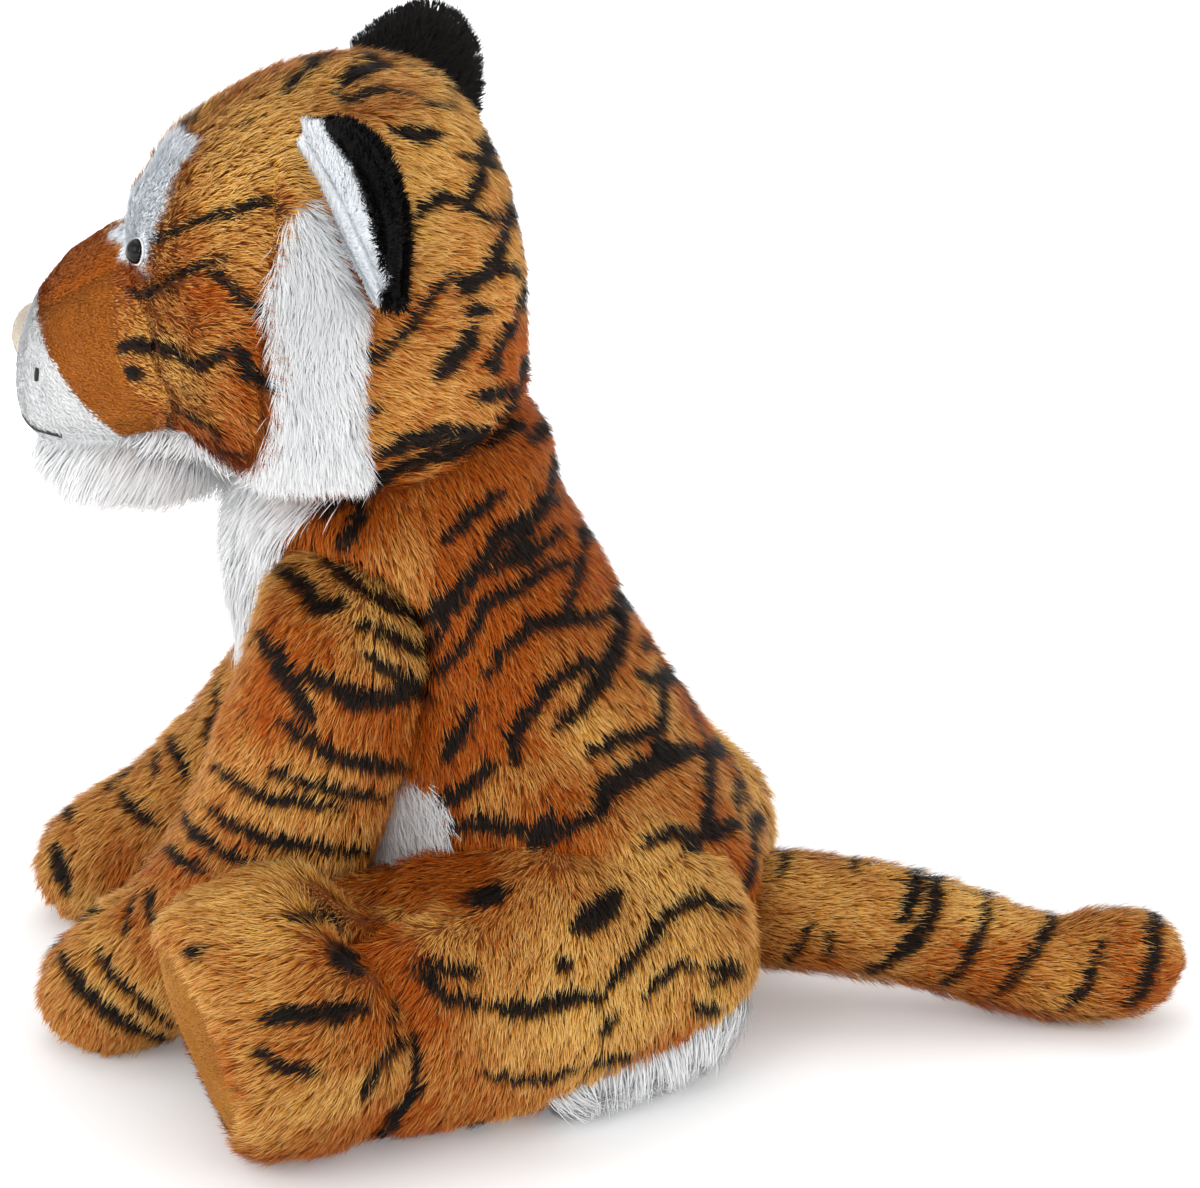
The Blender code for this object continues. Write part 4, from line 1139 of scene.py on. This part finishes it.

# Furs: the material, how far up the middle colour lies, and the colours at the root, middle and tip of the
# dullest strands and of the brightest. The darker roots are partly painted shade
furColours = {
    "orange": (
        "orange_fur", 0.45,
        (82, 26, 2), (152, 64, 6), (188, 94, 14),
        (140, 76, 14), (212, 154, 58), (244, 210, 136),
    ),
    "white": (
        "white_fur", 0.5,
        (206, 207, 209), (224, 225, 226), (230, 231, 232),
        (220, 221, 222), (237, 238, 238), (242, 242, 242),
    ),
    # A brighter, bluish copy of the white fur, painted light for the brow and the ear lining that lie in
    # shade
    "lit_white": (
        "snow_white_fur", 0.5,
        (226, 231, 236), (237, 241, 245), (241, 245, 249),
        (236, 240, 244), (245, 248, 251), (248, 250, 253),
    ),
    "rust": (
        "rust_velour", 0.5,
        (106, 46, 6), (160, 78, 15), (180, 94, 24),
        (134, 64, 12), (190, 106, 30), (206, 126, 48),
    ),
    "tan": (
        "tan_velour", 0.5,
        (106, 50, 8), (152, 82, 18), (172, 98, 28),
        (136, 72, 18), (186, 114, 38), (204, 138, 60),
    ),
    "gold": (
        "sole_velour", 0.5,
        (108, 54, 10), (148, 88, 24), (166, 106, 36),
        (130, 72, 18), (174, 118, 44), (192, 142, 68),
    ),
    "cream": (
        "cream_velour", 0.5,
        (160, 144, 126), (200, 188, 172), (218, 208, 194),
        (180, 166, 148), (220, 210, 196), (234, 226, 214),
    ),
    "black": (
        "black_fur", 0.6,
        (10, 9, 9), (16, 15, 15), (30, 28, 27),
        (14, 13, 13), (24, 22, 22), (48, 45, 43),
    ),
}
furs = {}
for fur, (label, middle, *colours) in furColours.items():
    dull, bright = [tuple(zip((0.0, middle, 1.0), [tint(*c) for c in colours[k:k + 3]])) for k in (0, 3)]
    furs[fur] = furMaterial(label, dull, bright, stripeRamp if fur == "orange" else None)

dyeLevels = {
    "coat": (140, 70, 18), "bib": (228, 229, 230), "belly": (226, 227, 228), "snout": (150, 82, 24),
    "muzzle": (234, 235, 235), "jaw": (228, 229, 230), "bridge": (134, 66, 16), "brow": (244, 247, 250),
    "ruff": (230, 231, 232), "sole": (168, 106, 40), "back": (16, 15, 15), "inner": (236, 237, 238),
    "stripe": (24, 18, 14), "fringe": (232, 233, 234),
}
dyes = {area: tint(*levels) for area, levels in dyeLevels.items()}
ground = clothMaterial("woven_ground")
thread = threadMaterial("black_thread", tint(22, 20, 19))
print("materials are mixed")


# The way the pile lies on each part
def napOf(name, co):
    down = np.tile((0.0, 0.0, -1.0), (len(co), 1))
    if name == "head":
        way = co - np.array(nosePoint)
        way /= np.linalg.norm(way, axis=1, keepdims=True)
        return way + down * 0.25
    if name == "body":
        return down + np.array((0, 0.22, 0))
    if name.startswith("arm"):
        return down * 0.9 + np.array((0, -0.45, 0))
    if name.startswith("leg"):
        # Down on the haunch, and forward along the foot
        along = np.clip((-co[:, 1] - 0.02) / 0.08, 0, 1)[:, None]
        return down * (1 - 0.5 * along) + np.array((0, -0.9, 0)) * (0.25 + along)
    if name.startswith("ear"):
        return co - earBase[name]
    return np.tile((0.0, 1.0, 0.0), (len(co), 1))


# Skins redder than the rest, and the torso more so from a height upward
skinTones = {"body": -0.30, "head": -0.12, "tail": -0.10}
torsoTone = {"much": 0.28, "from": 0.10, "over": 0.06}


# Each part's own tone, plus patches of painted highlight and painted shade where the fur is made more golden
# or redder
def toneAndLightShift(name, co):
    spots = pixelsOf(leftward(co))
    shift = np.full(len(co), skinTones.get(name, -0.08))
    if name == "body":
        shift -= torsoTone["much"] * np.clip((co[:, 2] - torsoTone["from"]) / torsoTone["over"], 0, 1)
    for x, y, wide, much in lightAndShadeSpots:
        shift += much * np.exp(-((spots - (x, y)) ** 2).sum(1) / wide**2)
    return shift


# Painted shade: fur is made redder down in the folds, a little behind their line in the photograph
crease = {"aside": 14, "wide": 30, "shade": 0.5}


def creaseShade(name, co):
    shade = np.zeros(len(co))
    spots = pixelsOf(leftward(co))
    for skin, _, _, _, line in folds:
        if name not in (skin, twinOf[skin]):
            continue
        for (x, y), _ in alongLine(list(zip(line[::2], line[1::2])), pixelStep["fold"]):
            far = ((spots - (x + crease["aside"], y)) ** 2).sum(1)
            shade = np.maximum(shade, crease["shade"] * np.exp(-far / crease["wide"] ** 2))
    return shade


nosePoint = Vector((0, -0.205, 0.245))
earBase = {}
for side in ("left", "right"):
    low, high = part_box("ear_back_" + side)
    x = min(abs(low[0]), abs(high[0])) * (1 if side == "left" else -1)
    earBase["ear_" + side] = np.array((x, (low[1] + high[1]) / 2, low[2] + 0.012))


def dress(item, body, slot, *nodes):
    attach(item, body)
    if nodes:
        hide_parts(*nodes)


# The area, its pile, its fur, how long, how steep, its slot and the way it lies where that differs
coats = {
    "body": (
        ("bib", "long", "white", 1.0, 1.5, "white_long_plush", (0, -0.15, -1)),
        ("belly", "fluff", "white", 1.0, 1.2, "white_long_plush", (0, 0.5, -0.8)),
    ),
    "head": (
        ("snout", "velour", "tan", 0.9, 1.0, "tan_short_plush", None),
        ("bridge", "velour", "rust", 1.2, 1.0, "tan_short_plush", None),
        ("muzzle", "velour", "white", 1.0, 1.0, "white_short_plush", None),
        ("jaw", "long", "white", 1.15, 1.3, "white_long_plush", (0, -0.35, -0.9)),
        # The brow takes the brighter copy of the white fur, painted light against its shade
        ("brow", "velour", "lit_white", 2.4, 1.0, "white_long_plush", None),
        ("ruff", "fluff", "white", 1.0, 1.2, "white_long_plush", (0, 0.1, -0.9)),
    ),
    "tail": (),
}
for side, out in (("left", 1), ("right", -1)):
    coats["arm_" + side] = ()
    coats["leg_" + side] = (
        ("sole", "velour", "gold", 1.0, 1.0, "sole_plush", None),
        ("fringe", "long", "white", 1.1, 1.5, "white_long_plush", (0.6 * out, 0.6, -0.8)),
    )
    coats["ear_" + side] = (
        ("back", "fuzz", "black", 1.0, 1.0, "black_plush", None),
        # The ear lining takes the brighter copy of the white fur, painted light against its shade
        ("inner", "velour", "lit_white", 1.4, 0.8, "white_short_plush", None),
    )


# Moves the borders between cloths to where the photograph shows them. An ear's pile is also shorter towards
# its front edge, by the shares that come back
def settleShares(name, facts, shares, away, co, no):
    lengthShare = np.ones(len(co))
    if name.startswith("ear"):
        middles = [places(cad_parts[node[0]].data).mean(0) for node in facts["areas"].values()]
        facing = np.linalg.svd(co - co.mean(0), full_matrices=False)[2][2]
        facing = facing * np.sign((middles[1] - middles[0]) @ facing)
        span = (co[:, 1] - co[:, 1].min()) / np.ptp(co[:, 1])
        lengthShare = 0.45 + 0.55 * np.clip(span * 1.6 - 0.3, 0, 1)
        lined = shownIn(co, liningOutline)
        shares["inner"] = np.clip((no @ facing + 0.25) / 0.2, 0, 1) * lined
        shares["back"] = 1 - shares["inner"]
    if name == "body":
        shown = shownIn(co, gapOutline) & (abs(no[:, 0]) > 0.05)
        shares["belly"] = np.maximum(shares["belly"], shown)
        shares["coat"] = shares["coat"] * ~shown
    if name.startswith("leg"):
        under = shownIn(co, fringeOutline)
        shares["fringe"] = under * 1.0
        shares["coat"] = shares["coat"] * (1 - under)
    if name == "head":
        shown = shownIn(co, ruffOutline)
        shares["coat"] = np.maximum(shares["coat"], shares["ruff"] * ~shown)
        shares["ruff"] = shares["ruff"] * shown
        ridge = shownIn(co, bridgeOutline) & (shares["snout"] > 0.5)
        shares["bridge"] = np.where(ridge, 1, shares["bridge"])
        shares["snout"] = np.where(ridge, 0, shares["snout"])
        ragged = co + 0.0014 * np.array([noise.noise_vector(Vector(place) * 260) for place in co])
        patch = shownIn(ragged, browOutline) & (abs(co[:, 0]) > 0.004)
        patch &= (away["snout"] > 0.002) & (away["bridge"] > 0.002)
        for area in shares:
            shares[area] = np.where(patch, area == "brow", shares[area] * (area != "brow"))
        shares["coat"] = np.maximum(shares["coat"], 1 - sum(shares.values()))
    return lengthShare


# Large furs are grown in bands, so that no piece is heavy
bandHeights = {"body": (0.075, 0.15), "head": (0.27,)}

# Pile that lies against a neighbour is sparse and short, down to these shares
pressed = {"room": 0.004, "sparsest": 0.5, "shortest": 0.4, "shortestCoat": 0.6}

# Areas with fewer strands than their pile has elsewhere
thinner = {"belly": 0.55, "fringe": 0.8, "jaw": 0.9}

# On the head the pile grows from a short share by the snout and the eyes to its full length this far off
faceShort = {"snout": (0.42, 0.045), "eyes": (0.45, 0.02)}

stitches = ("mouth_stitch", "whisker_stitch_left", "whisker_stitch_right")
threads = {node: makeStitch(node) for node in stitches}
threadTree = treeOf([item.data for item in threads.values()])

# Noise vectors start from the clock unless they are seeded, and the brow's ragged edge uses them
noise.seed_set(5)
seed = 10
eyeNodes = ("eye_left", "eye_right")
for name, item in cloth.items():
    mesh, facts = item.data, skins[name]
    co, no = places(mesh), normals(mesh)
    shares, away = areaShares(co, facts)
    lengthShare = settleShares(name, facts, shares, away, co, no)
    nap = tangent(napOf(name, co), no)
    room = roomAbove(item, [o for other, o in cloth.items() if other != name])
    broad = np.array([noise.noise(Vector(p) * 30) for p in co])
    fine = np.array([noise.noise(Vector(p) * 80) for p in co])
    tone = 0.5 + 0.5 * broad + 0.26 * fine
    # Painted light over the random tone: fur facing up is made more golden, the patches add painted
    # highlights and shade, and the folds take off painted shade
    tone = np.clip(tone + 0.22 * no[:, 2] + toneAndLightShift(name, co) - creaseShade(name, co), 0, 1)
    field = stripeField(item, laid[name], nap)
    bare = np.clip(room / pressed["room"], pressed["sparsest"], 1)

    # No pile on the embroidery, nor right round the eyes
    if name == "head":
        far = [threadTree.find_nearest(Vector(place))[3] for place in co]
        bare = np.minimum(bare, np.clip(np.array(far) / 0.0007 - 0.3, 0, 1))
        bare = np.minimum(bare, np.clip(distances(co, eyeNodes) / 0.002 - 0.2, 0, 1))

    for area, pile, fur, longer, steep, slot, way in coats[name]:
        seed += 1
        lie = nap if way is None else tangent(np.tile(way, (len(co), 1)).astype(float), no)
        length = piles[pile]["length"] * longer
        reach = np.clip((room + pressed["room"]) / length, pressed["shortest"], 1) * longer
        if area == "back":
            reach = reach * lengthShare
        share = shares[area] * bare * thinner.get(area, 1.0)
        grown = growFur(
            name + "_" + area + "_fur", item, pile, furs[fur], share, seed,
            nap=lie, lift=steep, pile=reach, tone=np.clip(tone, 0, 1),
        )
        dress(grown, name, slot, *facts["areas"].get(area, ()))
    if "coat" in shares:
        length = piles["coat"]["length"]
        pile = np.clip((room + pressed["room"]) / length, pressed["shortestCoat"], 1)
        if name == "head":
            least, within = faceShort["snout"]
            bySnout = np.clip(least + np.minimum(away["snout"], away["bridge"]) / within, least, 1)
            least, within = faceShort["eyes"]
            pile *= bySnout * np.clip(least + distances(co, eyeNodes) / within, least, 1)
        edges = (-1, *bandHeights.get(name, ()), 1)
        for k, (low, high) in enumerate(zip(edges, edges[1:])):
            seed += 1
            share = shares["coat"] * bare * ((co[:, 2] >= low) & (co[:, 2] < high))
            grown = growFur(
                name + "_fur_" + str(k + 1), item, "coat", furs["orange"], share, seed,
                nap=nap, pile=pile, tone=tone, stripe=field,
            )
            dress(grown, name, "striped_plush")
    dyeCloth(item, shares, dyes, field)
    print(name, "is dressed")

# The ground under the pile needs fewer faces once the pile has grown
for name, item in list(cloth.items()):
    lean = item.modifiers.new("decimate", "DECIMATE")
    lean.ratio = 0.5
    item = baked(item, name + "_cloth")
    cloth[name] = item
    item.data.materials.clear()
    item.data.materials.append(ground)
    covers = skins[name]["areas"].get("coat", ())
    slot = "black_plush" if name.startswith("ear") else "striped_plush"
    dress(item, name, slot, *covers, *skins[name]["inside"])
print("grounds:", {name: len(item.data.polygons) for name, item in cloth.items()})

# Nose, eyes and embroidery
nose = softCopy("nose_pad", "nose", 0.0007, 5, 0.0010)
noseCo, noseNo = places(nose.data), normals(nose.data)
noseNap = tangent(np.tile((0.0, 0.3, -1.0), (len(noseCo), 1)), noseNo)
nosePile = growFur(
    "nose_pile", nose, "velour", furs["cream"], np.ones(len(noseCo)), 91, nap=noseNap, pile=0.45, tone=0.6
)
dyeCloth(nose, {"nose": np.ones(len(noseCo))}, {"nose": tint(206, 194, 178)}, None)
nose.data.materials.clear()
nose.data.materials.append(ground)
dress(nose, "head", "nose_pile", "nose")
dress(nosePile, "head", "nose_pile")
eyeBlack = eyeMaterial()
ringWhite = plasticMaterial("eye_ring_white", tint(232, 232, 230), 0.35)
for side in ("left", "right"):
    dome, ring = makeEye(side)
    dome.data.materials.append(eyeBlack)
    ring.data.materials.append(ringWhite)
    dress(dome, "head", "eye", "eye_" + side)
    dress(ring, "head", "eye")
for node, stitch in threads.items():
    stitch.data.materials.clear()
    stitch.data.materials.append(thread)
    dress(stitch, "head", "thread", node)
washerClear = plasticMaterial("washer_plastic", (0.62, 0.62, 0.60), 0.35)
for side in ("left", "right"):
    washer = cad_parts["eye_washer_" + side]
    washer.data.materials.clear()
    washer.data.materials.append(washerClear)
print("face is finished")

for strand in strands.values():
    bpy.data.objects.remove(strand, do_unlink=True)
